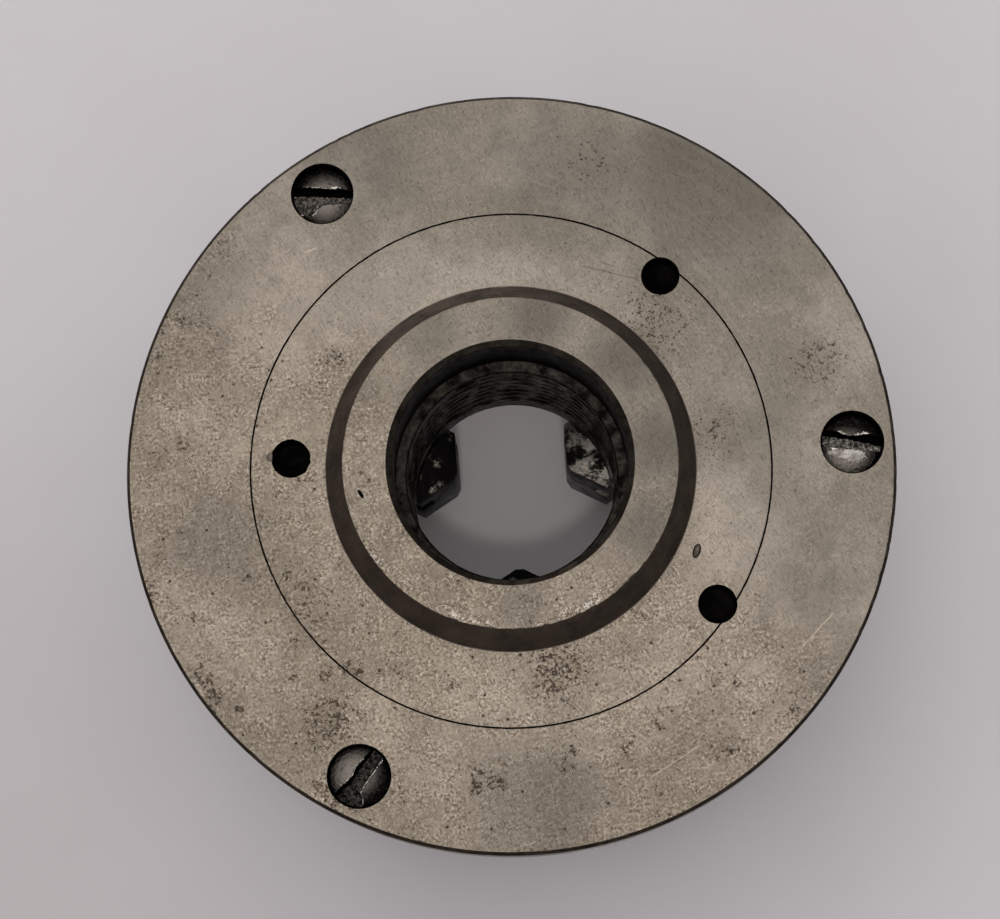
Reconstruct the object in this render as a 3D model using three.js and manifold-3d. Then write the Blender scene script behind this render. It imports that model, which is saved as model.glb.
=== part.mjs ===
// Three-jaw self-centring scroll chuck, 125 mm, with a threaded spindle flange.
//
// The chuck stands face down on its three jaws. +Z is the spindle axis and points out of the rear
// face; Z = 0 is the surface under the jaws. Most levels are given as a depth below the rear face.
import * as THREE from 'three';
import { mergeVertices } from 'three/addons/utils/BufferGeometryUtils.js';
import Module from 'manifold-3d';

const wasm = await Module();
wasm.setup();

// ---------------------------------------------------------------- driving dimensions, millimetres
const GAP = 0.3; // between faces that rest on each other
const OVERCUT = 2; // how far a cutting tool runs past a face
const BURY = 0.5; // how far a ridge, tooth or shank is sunk into the piece that carries it
const MERGE_DISTANCE = 1e-4; // corners closer than this are one corner
const MATCH_DISTANCE = 1e-3; // two corners this close are taken for the same one
const ROUND_SEGMENTS = 48;
const HOLE_SEGMENTS = 20;
const HEAD_SEGMENTS = 32;

const COVER_RADIUS = 62.5;
const BODY_RADIUS = 60;
const COVER_REAR_CHAMFER = 0.5;
const COVER_FRONT_CHAMFER = 1.5;
const FRONT_CHAMFER = 1.5;
const JAW_STAND = 18; // how far the tallest jaw step stands out of the front face

// Depths below the rear face.
const COVER_DEPTH = 8;
const SPIGOT_DEPTH = 9.3; // rim of the cover that centres it in the body
const BODY_REAR_DEPTH = COVER_DEPTH + GAP;
const BODY_FRONT_DEPTH = 54;
const REAR_FACE_Z = BODY_FRONT_DEPTH + JAW_STAND;

const JOINT_RADIUS = 42.3; // line between the cover ring and the spindle flange
const SHOULDER_RADIUS = 48;
const SHOULDER_DEPTH = 4;

const BOSS_BASE_RADIUS = 30;
const BOSS_TOP_RADIUS = 27;
const BOSS_HEIGHT = 5.5;
const BORE_MOUTH_RADIUS = 20;
const REGISTER_RADIUS = 19.05;
const REGISTER_LENGTH = 12.5;
const THREAD_MINOR_RADIUS = 17.3;
const THREAD_MAJOR_RADIUS = 19.05;
const THREAD_PITCH = 3.175; // 8 turns to the inch
const THREAD_CREST = 0.8;
const THREAD_ROOT = 0.4;
const THREAD_TURNS = 6.5;
const THREAD_START_ANGLE = 120; // degrees
const THREAD_RUN_OUT = 1; // length of the cone at each end of the thread
const THREAD_STEPS_PER_TURN = 16;
const THREAD_TOP_DEPTH = 9.5;
const SLEEVE_RADIUS = 22;
const SLEEVE_DEPTH = 34.8;
const PLAIN_BORE_RADIUS = 17;

const CHAMBER_RADIUS = 51;
const CHAMBER_DEPTH = 37.6;
const FRONT_BORE_RADIUS = 22;

const SCREW_CIRCLE_RADIUS = 55.5;
const SCREW_THREAD_RADIUS = 3;
const SCREW_HEAD_RADIUS = 4.8;
const SCREW_HEAD_HEIGHT = 3.4;
const SCREW_HEAD_RECESS = 1;
const SCREW_END_DEPTH = 20;
const SCREW_HOLE_DEPTH = 21;
const SCREW_SLOT_WIDTH = 1.8;
const SCREW_SLOT_DEPTH = 1.7;
const SCREW_SLOT_TURNS = [-11, 55, -15]; // from the direction of the chuck's axis, degrees
const COUNTERBORE_RADIUS = 5.05;

const JAW_WIDTH = 13.5;
const JAW_TIP_RADIUS = 11.5;
const JAW_OUTER_RADIUS = 57;
const JAW_NOSE_HALF_ANGLE = 60;
const JAW_NOSE_LAND = 1.4;
const JAW_STEP_RADII = [22, 35]; // where the second and third steps begin
const JAW_STEP_HEIGHTS = [2, 10, JAW_STAND]; // steps out of the front face
const JAW_TOOTH_TIP_DEPTH = 35.2;
const JAW_TOOTH_ROOT_DEPTH = 37.4;
const JAW_FIRST_TOOTH_RADIUS = 15.5;
const JAW_LAST_TOOTH_RADIUS = 55;
const JAW_TOOTH_THICKNESS = 2.1;
const JAW_TOOTH_SET_IN = 0.1; // from the jaw's side faces
const JAW_TOOTH_STEPS = 4;
const JAW_INWARD_TRAVEL = 9;
const JAW_OUTWARD_TRAVEL = 24;
const SLOT_CLEARANCE = 0.3;
const RIB_DEPTH = 2.2; // how far a guide rib stands into the jaw slot
const RIB_TOP_DEPTH = 43.5;
const RIB_BOTTOM_DEPTH = 47.5;

const SCROLL_PITCH = 6;
const SCROLL_RADIUS = 50;
const SCROLL_CLEARANCE = 0.35; // between the scroll and the sleeve it turns on
const SCROLL_INNER_RADIUS = SLEEVE_RADIUS + SCROLL_CLEARANCE;
const SCROLL_FLOOR_DEPTH = 34.7;
const SCROLL_RIDGE_DEPTH = 37.1;
const SCROLL_RIDGE_THICKNESS = 2.1;
const SPIRAL_START_RADIUS = 24.2;
const SPIRAL_END_RADIUS = 48.7;
const SPIRAL_STEPS_PER_TURN = 30;
const COLLAR_RADIUS = 33;
const COLLAR_DEPTH = 9.2;
const WASHER_RADII = [22.6, 32.5];
const WASHER_DEPTHS = [8.25, 8.95];

const GEAR_TEETH = 57;
const PINION_TEETH = 8;
const GEAR_OUTER_RADIUS = 48.5;
const GEAR_INNER_RADIUS = 40.5;
const GEAR_ADDENDUM = 1.2; // at the outer ends of the teeth
const GEAR_DEDENDUM = 1.8;
const TOOTH_HALF_THICKNESS = 1.0; // on the pitch cone, at the outer ends of the teeth
const TOOTH_FLANK_ANGLE = 22;
const PINION_AXIS_DEPTH = 18.3;
const PINION_RADIUS = 8.4;
const PINION_BORE_RADIUS = 8.7;
const PINION_OUTER_END = 59.3;
const PINION_COLLAR_END = 50.3;
const PINION_GROOVE = [52.4, 56.9];
const PINION_GROOVE_RADIUS = 7.2;
const SOCKET_SIDE = 8;
const SOCKET_DEPTH = 9;
const PIN_RADIUS = 1.75;
const PIN_DEPTHS = [8.6, 24];
const PIN_HOLE_RADIUS = 2.05;
const PIN_HOLE_DEPTH = 24.6;
const PIN_SEGMENTS = 16;

const DOWEL_RADIUS = 1.5;
const DOWEL_CIRCLE_RADIUS = 45.2;
const DOWEL_DEPTHS = [2, 7.6];
const DOWEL_CLEARANCE = 0.2;

const DRILLED_HOLE_RADIUS = 3.05;
const DRILLED_HOLE_DEPTH = 6;
// Holes drilled into the rear face by an owner: distance from the axis, angle in degrees.
const DRILLED_HOLES = [
  [40.1, 48.2],
  [35.8, 173.4],
  [40.1, 321.9],
];

// Angles about the axis of the first of each set of three, degrees.
const SCREW_ANGLE = 0;
const JAW_ANGLE = 30;
const PINION_ANGLE = 90;
const DOWEL_ANGLE = 30;

// ---------------------------------------------------------------- materials
const steel = (color, roughness) =>
  new THREE.MeshStandardMaterial({ color, roughness, metalness: 0.9 });

const FINISH = {
  body: steel(0x6b675f, 0.55),
  cover: steel(0x8d887c, 0.45),
  flange: steel(0x938d80, 0.45),
  screw: steel(0x817b6e, 0.5),
  jaw: steel(0x8a857b, 0.4),
  scroll: steel(0x74716a, 0.45),
  pinion: steel(0x6f6b64, 0.4),
  pin: steel(0xa29d92, 0.35),
  washer: steel(0x9b7d4a, 0.4),
};

// ---------------------------------------------------------------- helpers
const radians = (degrees) => (degrees * Math.PI) / 180;
const degreesOf = (angle) => (angle * 180) / Math.PI;
const level = (depth) => REAR_FACE_Z - depth;
const polar = (radius, degrees) => [
  radius * Math.cos(radians(degrees)),
  radius * Math.sin(radians(degrees)),
];
// Angles of three pieces spread evenly about the axis.
const threeAngles = (first) => [0, 1, 2].map((i) => first + 120 * i);

// A closed geometry as a solid that can be cut and joined.
function solid(geometry) {
  const bare = geometry.clone();
  bare.deleteAttribute('normal');
  bare.deleteAttribute('uv');
  const merged = mergeVertices(bare, MERGE_DISTANCE);
  const corners = merged.index.array;
  const kept = [];
  for (let i = 0; i < corners.length; i += 3) {
    const [a, b, c] = corners.slice(i, i + 3);
    if (a !== b && b !== c && c !== a) kept.push(a, b, c);
  }
  const vertProperties = new Float32Array(merged.attributes.position.array);
  const triVerts = new Uint32Array(kept);
  return new wasm.Manifold(new wasm.Mesh({ numProp: 3, vertProperties, triVerts }));
}

function geometryOf(body) {
  const { vertProperties, triVerts } = body.getMesh();
  const geometry = new THREE.BufferGeometry();
  geometry.setAttribute('position', new THREE.BufferAttribute(vertProperties, 3));
  geometry.setIndex(new THREE.BufferAttribute(triVerts, 1));
  geometry.computeVertexNormals();
  return geometry;
}

const subtractAll = (body, tools) => tools.reduce((rest, tool) => rest.subtract(tool), body);
const addAll = (body, pieces) => pieces.reduce((whole, piece) => whole.add(piece), body);

// Solid of revolution about Z from a closed outline of [radius, depth] corners. The outline runs
// outwards along the lowest face, up the outside and inwards along the top.
function revolve(corners, segments = ROUND_SEGMENTS) {
  const outline = corners.map(([radius, depth]) => new THREE.Vector2(radius, level(depth)));
  outline.push(outline[0].clone());
  const geometry = new THREE.LatheGeometry(outline, segments);
  geometry.rotateX(Math.PI / 2);
  geometry.rotateZ(Math.PI / 2);
  return solid(geometry);
}

// Upright cylinder between two depths, at a distance from the axis and an angle.
function post(radius, topDepth, bottomDepth, distance, degrees, segments = HOLE_SEGMENTS) {
  const geometry = new THREE.CylinderGeometry(radius, radius, bottomDepth - topDepth, segments);
  geometry.rotateX(Math.PI / 2);
  const [x, y] = polar(distance, degrees);
  geometry.translate(x, y, level((topDepth + bottomDepth) / 2));
  return solid(geometry);
}

// Cylinder or cone along +X between two distances from the spindle axis, on the X axis.
function radialBar(innerRadius, outerRadius, from, to, segments = HOLE_SEGMENTS) {
  const geometry = new THREE.CylinderGeometry(outerRadius, innerRadius, to - from, segments);
  geometry.rotateZ(-Math.PI / 2);
  geometry.translate((from + to) / 2, 0, 0);
  return solid(geometry);
}

// Prism of an outline in the XY plane between two depths.
function slab(points, topDepth, bottomDepth) {
  const shape = new THREE.Shape(points.map(([x, y]) => new THREE.Vector2(x, y)));
  const depth = bottomDepth - topDepth;
  const geometry = new THREE.ExtrudeGeometry(shape, { depth, bevelEnabled: false });
  geometry.translate(0, 0, level(bottomDepth));
  return solid(geometry);
}

// Prism that runs along X, from an outline of [y, depth] corners.
function rail(points, from, to) {
  const shape = new THREE.Shape(points.map(([y, depth]) => new THREE.Vector2(y, level(depth))));
  const geometry = new THREE.ExtrudeGeometry(shape, { depth: to - from, bevelEnabled: false });
  geometry.rotateX(Math.PI / 2);
  geometry.rotateZ(Math.PI / 2);
  geometry.translate(from, 0, 0);
  return solid(geometry);
}

// Bar of a given section wound about the Z axis. The section's x is added to the radius and its y
// is the height; radiusAt and heightAt say how the winding grows with the angle turned, clockwise
// from the start.
function winding(section, startAngle, turned, steps, radiusAt, heightAt) {
  const shape = new THREE.Shape(section.map(([x, y]) => new THREE.Vector2(x, y)));
  const geometry = new THREE.ExtrudeGeometry(shape, { depth: turned, steps, bevelEnabled: false });
  const position = geometry.attributes.position;
  for (let i = 0; i < position.count; i += 1) {
    const angle = position.getZ(i);
    const radius = radiusAt(angle) + position.getX(i);
    const around = startAngle - angle;
    const height = heightAt(angle) + position.getY(i);
    position.setXYZ(i, radius * Math.cos(around), radius * Math.sin(around), height);
  }
  return solid(geometry);
}

const rectangle = (left, right, bottom, top) => [
  [left, bottom],
  [right, bottom],
  [right, top],
  [left, top],
];

// Block whose two end faces lie across X at two distances, each with its own [y, z] corners.
function loft(nearX, nearCorners, farX, farCorners) {
  const shape = new THREE.Shape(nearCorners.map(([y, z]) => new THREE.Vector2(y, z)));
  const geometry = new THREE.ExtrudeGeometry(shape, { depth: 1, bevelEnabled: false });
  const position = geometry.attributes.position;
  const same = (a, b) => Math.abs(a - b) < MATCH_DISTANCE;
  for (let i = 0; i < position.count; i += 1) {
    const [y, z] = [position.getX(i), position.getY(i)];
    const corner = nearCorners.findIndex((near) => same(near[0], y) && same(near[1], z));
    const isFar = position.getZ(i) > 0.5;
    const [newY, newZ] = isFar ? farCorners[corner] : nearCorners[corner];
    position.setXYZ(i, isFar ? farX : nearX, newY, newZ);
  }
  return solid(geometry);
}

// ---------------------------------------------------------------- body
// Cutting tool for one jaw slot, along +X: open at the front, at the outside and at the bore, with
// a guide rib left standing on each side.
function jawSlotTool() {
  const half = JAW_WIDTH / 2 + SLOT_CLEARANCE;
  const neck = half - RIB_DEPTH;
  const top = JAW_TOOTH_TIP_DEPTH - GAP;
  const bottom = BODY_FRONT_DEPTH + OVERCUT;
  const right = [
    [half, top],
    [half, RIB_TOP_DEPTH],
    [neck, RIB_TOP_DEPTH],
    [neck, RIB_BOTTOM_DEPTH],
    [half, RIB_BOTTOM_DEPTH],
    [half, bottom],
  ];
  const left = right.map(([y, depth]) => [-y, depth]).reverse();
  return rail([...right, ...left].reverse(), FRONT_BORE_RADIUS / 2, BODY_RADIUS + OVERCUT);
}

function pinionBoreTool() {
  const [from, to] = [CHAMBER_RADIUS - OVERCUT, BODY_RADIUS + OVERCUT];
  const bore = radialBar(PINION_BORE_RADIUS, PINION_BORE_RADIUS, from, to);
  return bore.translate([0, 0, level(PINION_AXIS_DEPTH)]);
}

// Place beside a pinion where its retaining pin stands, half in the pinion's groove.
const PIN_DISTANCE = (PINION_GROOVE[0] + PINION_GROOVE[1]) / 2;
const PIN_OFFSET = PINION_GROOVE_RADIUS + PIN_RADIUS + GAP;
const PIN_PLACE = [
  Math.hypot(PIN_DISTANCE, PIN_OFFSET),
  degreesOf(Math.atan2(PIN_OFFSET, PIN_DISTANCE)),
];

function chuckBody() {
  const shell = revolve([
    [FRONT_BORE_RADIUS, BODY_FRONT_DEPTH],
    [BODY_RADIUS - FRONT_CHAMFER, BODY_FRONT_DEPTH],
    [BODY_RADIUS, BODY_FRONT_DEPTH - FRONT_CHAMFER],
    [BODY_RADIUS, BODY_REAR_DEPTH],
    [CHAMBER_RADIUS, BODY_REAR_DEPTH],
    [CHAMBER_RADIUS, CHAMBER_DEPTH],
    [FRONT_BORE_RADIUS, CHAMBER_DEPTH],
  ]);
  const slots = threeAngles(JAW_ANGLE).map((angle) => jawSlotTool().rotate([0, 0, angle]));
  const bores = threeAngles(PINION_ANGLE).map((angle) => pinionBoreTool().rotate([0, 0, angle]));
  const [distance, beside] = PIN_PLACE;
  const pinHoles = threeAngles(PINION_ANGLE + beside).map((angle) =>
    post(PIN_HOLE_RADIUS, 0, PIN_HOLE_DEPTH, distance, angle),
  );
  const screwHoles = threeAngles(SCREW_ANGLE).map((angle) =>
    post(SCREW_THREAD_RADIUS + GAP, 0, SCREW_HOLE_DEPTH, SCREW_CIRCLE_RADIUS, angle),
  );
  return subtractAll(shell, [...slots, ...bores, ...pinHoles, ...screwHoles]);
}

// ---------------------------------------------------------------- rear cover and spindle flange
const drilledHoleTools = () =>
  DRILLED_HOLES.map(([distance, degrees]) =>
    post(DRILLED_HOLE_RADIUS, -OVERCUT, DRILLED_HOLE_DEPTH, distance, degrees),
  );

const dowelHoleTools = () =>
  threeAngles(DOWEL_ANGLE).map((degrees) => {
    const [top, bottom] = DOWEL_DEPTHS;
    const radius = DOWEL_RADIUS + DOWEL_CLEARANCE;
    return post(radius, top - GAP, bottom + OVERCUT, DOWEL_CIRCLE_RADIUS, degrees);
  });

function rearCoverRing() {
  const ring = revolve([
    [JOINT_RADIUS + GAP / 2, 0],
    [JOINT_RADIUS + GAP / 2, SHOULDER_DEPTH],
    [SHOULDER_RADIUS + GAP, SHOULDER_DEPTH],
    [SHOULDER_RADIUS + GAP, SPIGOT_DEPTH],
    [CHAMBER_RADIUS - GAP, SPIGOT_DEPTH],
    [CHAMBER_RADIUS - GAP, COVER_DEPTH],
    [COVER_RADIUS - COVER_FRONT_CHAMFER, COVER_DEPTH],
    [COVER_RADIUS, COVER_DEPTH - COVER_FRONT_CHAMFER],
    [COVER_RADIUS, COVER_REAR_CHAMFER],
    [COVER_RADIUS - COVER_REAR_CHAMFER, 0],
  ]);
  const seat = SCREW_HEAD_RECESS + SCREW_HEAD_HEIGHT + GAP;
  const screwTools = threeAngles(SCREW_ANGLE).flatMap((degrees) => [
    post(COUNTERBORE_RADIUS, -OVERCUT, seat, SCREW_CIRCLE_RADIUS, degrees, HEAD_SEGMENTS),
    post(SCREW_THREAD_RADIUS + GAP, 0, COVER_DEPTH + OVERCUT, SCREW_CIRCLE_RADIUS, degrees),
  ]);
  return subtractAll(ring, [...screwTools, ...drilledHoleTools(), ...dowelHoleTools()]);
}

// V-shaped thread groove wound down the bore wall, one end in the register, one in the wall.
function spindleThreadTool() {
  const depth = THREAD_MAJOR_RADIUS - THREAD_MINOR_RADIUS;
  const rootHalf = THREAD_ROOT / 2;
  const half = (THREAD_PITCH - THREAD_CREST) / 2;
  const slope = (half - rootHalf) / depth;
  const section = [
    [-GAP, -half - GAP * slope],
    [depth, -rootHalf],
    [depth, rootHalf],
    [-GAP, half + GAP * slope],
  ];
  const turned = 2 * Math.PI * THREAD_TURNS;
  const steps = Math.round(THREAD_STEPS_PER_TURN * THREAD_TURNS);
  const heightAt = (angle) => level(THREAD_TOP_DEPTH) - (THREAD_PITCH * angle) / (2 * Math.PI);
  const start = radians(THREAD_START_ANGLE);
  return winding(section, start, turned, steps, () => THREAD_MINOR_RADIUS, heightAt);
}

function spindleFlange() {
  const registerEnd = REGISTER_LENGTH - BOSS_HEIGHT;
  const threadEnd = THREAD_TOP_DEPTH + THREAD_PITCH * THREAD_TURNS;
  const mouth = BORE_MOUTH_RADIUS - REGISTER_RADIUS;
  const body = revolve([
    [BORE_MOUTH_RADIUS, -BOSS_HEIGHT],
    [REGISTER_RADIUS, mouth - BOSS_HEIGHT],
    [REGISTER_RADIUS, registerEnd],
    [THREAD_MINOR_RADIUS, registerEnd + THREAD_RUN_OUT],
    [THREAD_MINOR_RADIUS, threadEnd - THREAD_RUN_OUT],
    [PLAIN_BORE_RADIUS, threadEnd],
    [PLAIN_BORE_RADIUS, SLEEVE_DEPTH],
    [SLEEVE_RADIUS, SLEEVE_DEPTH],
    [SLEEVE_RADIUS, COVER_DEPTH],
    [SHOULDER_RADIUS, COVER_DEPTH],
    [SHOULDER_RADIUS, SHOULDER_DEPTH + GAP],
    [JOINT_RADIUS - GAP / 2, SHOULDER_DEPTH + GAP],
    [JOINT_RADIUS - GAP / 2, 0],
    [BOSS_BASE_RADIUS, 0],
    [BOSS_TOP_RADIUS, -BOSS_HEIGHT],
  ]);
  return subtractAll(body, [spindleThreadTool(), ...drilledHoleTools(), ...dowelHoleTools()]);
}

// Slotted cheese-head screw, upright, on the Z axis.
function coverScrew() {
  const headEnd = SCREW_HEAD_RECESS + SCREW_HEAD_HEIGHT;
  const head = post(SCREW_HEAD_RADIUS, SCREW_HEAD_RECESS, headEnd, 0, 0, HEAD_SEGMENTS);
  const shank = post(SCREW_THREAD_RADIUS, headEnd - BURY, SCREW_END_DEPTH, 0, 0);
  const reach = SCREW_HEAD_RADIUS + OVERCUT;
  const half = SCREW_SLOT_WIDTH / 2;
  const slotFloor = SCREW_HEAD_RECESS + SCREW_SLOT_DEPTH;
  return head.add(shank).subtract(slab(rectangle(-reach, reach, -half, half), 0, slotFloor));
}

const flangeDowel = () => post(DOWEL_RADIUS, ...DOWEL_DEPTHS, 0, 0, PIN_SEGMENTS);
const pinionPin = () => post(PIN_RADIUS, ...PIN_DEPTHS, 0, 0, PIN_SEGMENTS);

const scrollThrustWasher = () =>
  revolve([
    [WASHER_RADII[0], WASHER_DEPTHS[1]],
    [WASHER_RADII[1], WASHER_DEPTHS[1]],
    [WASHER_RADII[1], WASHER_DEPTHS[0]],
    [WASHER_RADII[0], WASHER_DEPTHS[0]],
  ]);

// ---------------------------------------------------------------- scroll plate and pinions
// Pitch cone of the scroll's teeth: depth below the pinion axis at a distance from the chuck axis.
const pitchDepth = (distance) => (distance * PINION_TEETH) / GEAR_TEETH;
const atDistance = (size, distance) => (size * distance) / GEAR_OUTER_RADIUS;

// Half thickness of a tooth at a height above its pitch line, at the outer end of the teeth.
const toothHalf = (height) => TOOTH_HALF_THICKNESS - height * Math.tan(radians(TOOTH_FLANK_ANGLE));

// One bevel tooth of the scroll, along +X, standing up from the root cone.
function gearTooth() {
  const sink = GEAR_DEDENDUM + BURY;
  const corners = (distance) => {
    const scale = (size) => atDistance(size, distance);
    const axis = level(PINION_AXIS_DEPTH);
    const root = axis - pitchDepth(distance) - scale(sink);
    const tip = axis - pitchDepth(distance) + scale(GEAR_ADDENDUM);
    const rootHalf = scale(toothHalf(-sink));
    const tipHalf = scale(toothHalf(GEAR_ADDENDUM));
    return [
      [-rootHalf, root],
      [rootHalf, root],
      [tipHalf, tip],
      [-tipHalf, tip],
    ];
  };
  const [near, far] = [GEAR_INNER_RADIUS, GEAR_OUTER_RADIUS];
  return loft(near, corners(near), far, corners(far));
}

const gearRootDepth = (distance) =>
  PINION_AXIS_DEPTH + pitchDepth(distance) + atDistance(GEAR_DEDENDUM, distance);

// Spiral ridge on the front of the scroll. The radius grows clockwise, seen from the rear.
function spiralRidge() {
  const half = SCROLL_RIDGE_THICKNESS / 2;
  const bottom = level(SCROLL_RIDGE_DEPTH);
  const section = rectangle(-half, half, bottom, level(SCROLL_FLOOR_DEPTH) + BURY);
  const turned = (2 * Math.PI * (SPIRAL_END_RADIUS - SPIRAL_START_RADIUS)) / SCROLL_PITCH;
  const steps = Math.round((SPIRAL_STEPS_PER_TURN * turned) / (2 * Math.PI));
  const radiusAt = (angle) => SPIRAL_START_RADIUS + (SCROLL_PITCH * angle) / (2 * Math.PI);
  return winding(section, 0, turned, steps, radiusAt, () => 0);
}

function scrollPlate() {
  const outline = [
    [SCROLL_INNER_RADIUS, SCROLL_FLOOR_DEPTH],
    [SCROLL_RADIUS, SCROLL_FLOOR_DEPTH],
    [SCROLL_RADIUS, gearRootDepth(GEAR_OUTER_RADIUS) + GAP],
    [GEAR_OUTER_RADIUS, gearRootDepth(GEAR_OUTER_RADIUS)],
    [GEAR_INNER_RADIUS, gearRootDepth(GEAR_INNER_RADIUS)],
    [COLLAR_RADIUS, gearRootDepth(GEAR_INNER_RADIUS)],
    [COLLAR_RADIUS, COLLAR_DEPTH],
    [SCROLL_INNER_RADIUS, COLLAR_DEPTH],
  ];
  // One flat of the plate lies under each tooth.
  const pitchAngle = 360 / GEAR_TEETH;
  const plate = revolve(outline, GEAR_TEETH).rotate([0, 0, PINION_ANGLE + pitchAngle / 2]);
  const teeth = [];
  for (let i = 0; i < GEAR_TEETH; i += 1) {
    teeth.push(gearTooth().rotate([0, 0, PINION_ANGLE + pitchAngle * i]));
  }
  return addAll(plate, [spiralRidge(), ...teeth]);
}

// One tooth of the pinion, standing up from the X axis.
function pinionTooth() {
  const foot = pitchDepth(GEAR_OUTER_RADIUS) - GEAR_DEDENDUM - BURY;
  const tip = pitchDepth(GEAR_OUTER_RADIUS) + GEAR_ADDENDUM;
  const footHalf = toothHalf(-GEAR_DEDENDUM);
  const tipHalf = toothHalf(GEAR_ADDENDUM);
  const corners = (distance) => {
    const scale = (size) => atDistance(size, distance);
    return [
      [scale(-footHalf), scale(foot)],
      [scale(footHalf), scale(foot)],
      [scale(tipHalf), scale(tip)],
      [scale(-tipHalf), scale(tip)],
    ];
  };
  // The outer end runs on into the pinion's collar.
  const [near, far] = [GEAR_INNER_RADIUS, GEAR_OUTER_RADIUS];
  return loft(near, corners(near), far + GAP, corners(far));
}

// Bevel pinion along +X, with a groove for its pin and a square socket for the chuck key.
function pinion() {
  const rootRadius = pitchDepth(GEAR_OUTER_RADIUS) - GEAR_DEDENDUM;
  const innerRoot = atDistance(rootRadius, GEAR_INNER_RADIUS);
  const core = radialBar(innerRoot, rootRadius, GEAR_INNER_RADIUS, GEAR_OUTER_RADIUS);
  const [grooveStart, grooveEnd] = PINION_GROOVE;
  const pieces = [
    radialBar(rootRadius, PINION_RADIUS, GEAR_OUTER_RADIUS, PINION_COLLAR_END),
    radialBar(PINION_RADIUS, PINION_RADIUS, PINION_COLLAR_END, grooveStart),
    radialBar(PINION_GROOVE_RADIUS, PINION_GROOVE_RADIUS, grooveStart, grooveEnd),
    radialBar(PINION_RADIUS, PINION_RADIUS, grooveEnd, PINION_OUTER_END),
  ];
  for (let i = 0; i < PINION_TEETH; i += 1) {
    // The gap between two teeth faces down, over a tooth of the scroll.
    const turn = (360 / PINION_TEETH) * (i + 0.5);
    pieces.push(pinionTooth().rotate([turn, 0, 0]));
  }
  const socket = new THREE.BoxGeometry(SOCKET_DEPTH + OVERCUT, SOCKET_SIDE, SOCKET_SIDE);
  socket.translate(PINION_OUTER_END - SOCKET_DEPTH / 2 + OVERCUT / 2, 0, 0);
  return addAll(core, pieces).subtract(solid(socket));
}

// ---------------------------------------------------------------- jaws
// Distances of one jaw's teeth from the axis: the middles of the scroll's grooves at the jaw.
function toothRadii(jawAngle) {
  const groove = SPIRAL_START_RADIUS + SCROLL_PITCH / 2 - (SCROLL_PITCH * jawAngle) / 360;
  const steps = Math.ceil((JAW_FIRST_TOOTH_RADIUS - groove) / SCROLL_PITCH);
  const radii = [];
  for (let r = groove + steps * SCROLL_PITCH; r <= JAW_LAST_TOOTH_RADIUS; r += SCROLL_PITCH) {
    radii.push(r);
  }
  return radii;
}

// One curved tooth across the jaw. Its curve suits the middle of the radii where it meets the scroll.
function jawTooth(radius) {
  const innermost = Math.max(SPIRAL_START_RADIUS, radius - JAW_INWARD_TRAVEL);
  const outermost = Math.min(SPIRAL_END_RADIUS, radius + JAW_OUTWARD_TRAVEL);
  const curve = (innermost + outermost) / 2;
  const halfSpan = Math.asin((JAW_WIDTH / 2 - JAW_TOOTH_SET_IN) / curve);
  const half = JAW_TOOTH_THICKNESS / 2;
  const bottom = level(JAW_TOOTH_ROOT_DEPTH + BURY);
  const section = rectangle(-half, half, bottom, level(JAW_TOOTH_TIP_DEPTH));
  const arc = winding(section, halfSpan, 2 * halfSpan, JAW_TOOTH_STEPS, () => curve, () => 0);
  return arc.translate([radius - curve, 0, 0]);
}

// Jaw along +X: a pointed nose, two side grooves for the body's ribs, and three steps.
function jaw(jawAngle) {
  const half = JAW_WIDTH / 2;
  const noseLength = (half - JAW_NOSE_LAND / 2) / Math.tan(radians(JAW_NOSE_HALF_ANGLE));
  const noseEnd = JAW_TIP_RADIUS + noseLength;
  const outline = (from) => [
    [from, -half],
    [JAW_OUTER_RADIUS, -half],
    [JAW_OUTER_RADIUS, half],
    [from, half],
  ];
  const nose = [
    ...outline(noseEnd),
    [JAW_TIP_RADIUS, JAW_NOSE_LAND / 2],
    [JAW_TIP_RADIUS, -JAW_NOSE_LAND / 2],
  ];
  const ends = JAW_STEP_HEIGHTS.map((height) => BODY_FRONT_DEPTH + height);
  const blocks = [nose, ...JAW_STEP_RADII.map(outline)].map((points, i) =>
    slab(points, JAW_TOOTH_ROOT_DEPTH, ends[i]),
  );
  const teeth = toothRadii(jawAngle).map(jawTooth);
  const neck = half - RIB_DEPTH;
  const [top, bottom] = [RIB_TOP_DEPTH - SLOT_CLEARANCE, RIB_BOTTOM_DEPTH + SLOT_CLEARANCE];
  const [from, to] = [JAW_TIP_RADIUS - OVERCUT, JAW_OUTER_RADIUS + OVERCUT];
  const grooves = [-1, 1].map((side) => {
    const edges = [side * neck, side * (half + OVERCUT)].sort((a, b) => a - b);
    return rail(rectangle(edges[0], edges[1], bottom, top), from, to);
  });
  return subtractAll(addAll(blocks[0], [...blocks.slice(1), ...teeth]), grooves);
}

// ---------------------------------------------------------------- assembly
const chuck = new THREE.Group();

function place(name, body, material, { turn = 0, distance = 0, height = 0, spin = 0 } = {}) {
  const mesh = new THREE.Mesh(geometryOf(body), material);
  mesh.name = name;
  const [x, y] = polar(distance, turn);
  mesh.position.set(x, y, height);
  mesh.rotation.z = radians(turn + spin);
  chuck.add(mesh);
}

place('chuck_body', chuckBody(), FINISH.body);
place('rear_cover_ring', rearCoverRing(), FINISH.cover);
place('spindle_flange', spindleFlange(), FINISH.flange);
place('scroll_plate', scrollPlate(), FINISH.scroll);
place('scroll_thrust_washer', scrollThrustWasher(), FINISH.washer);

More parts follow.
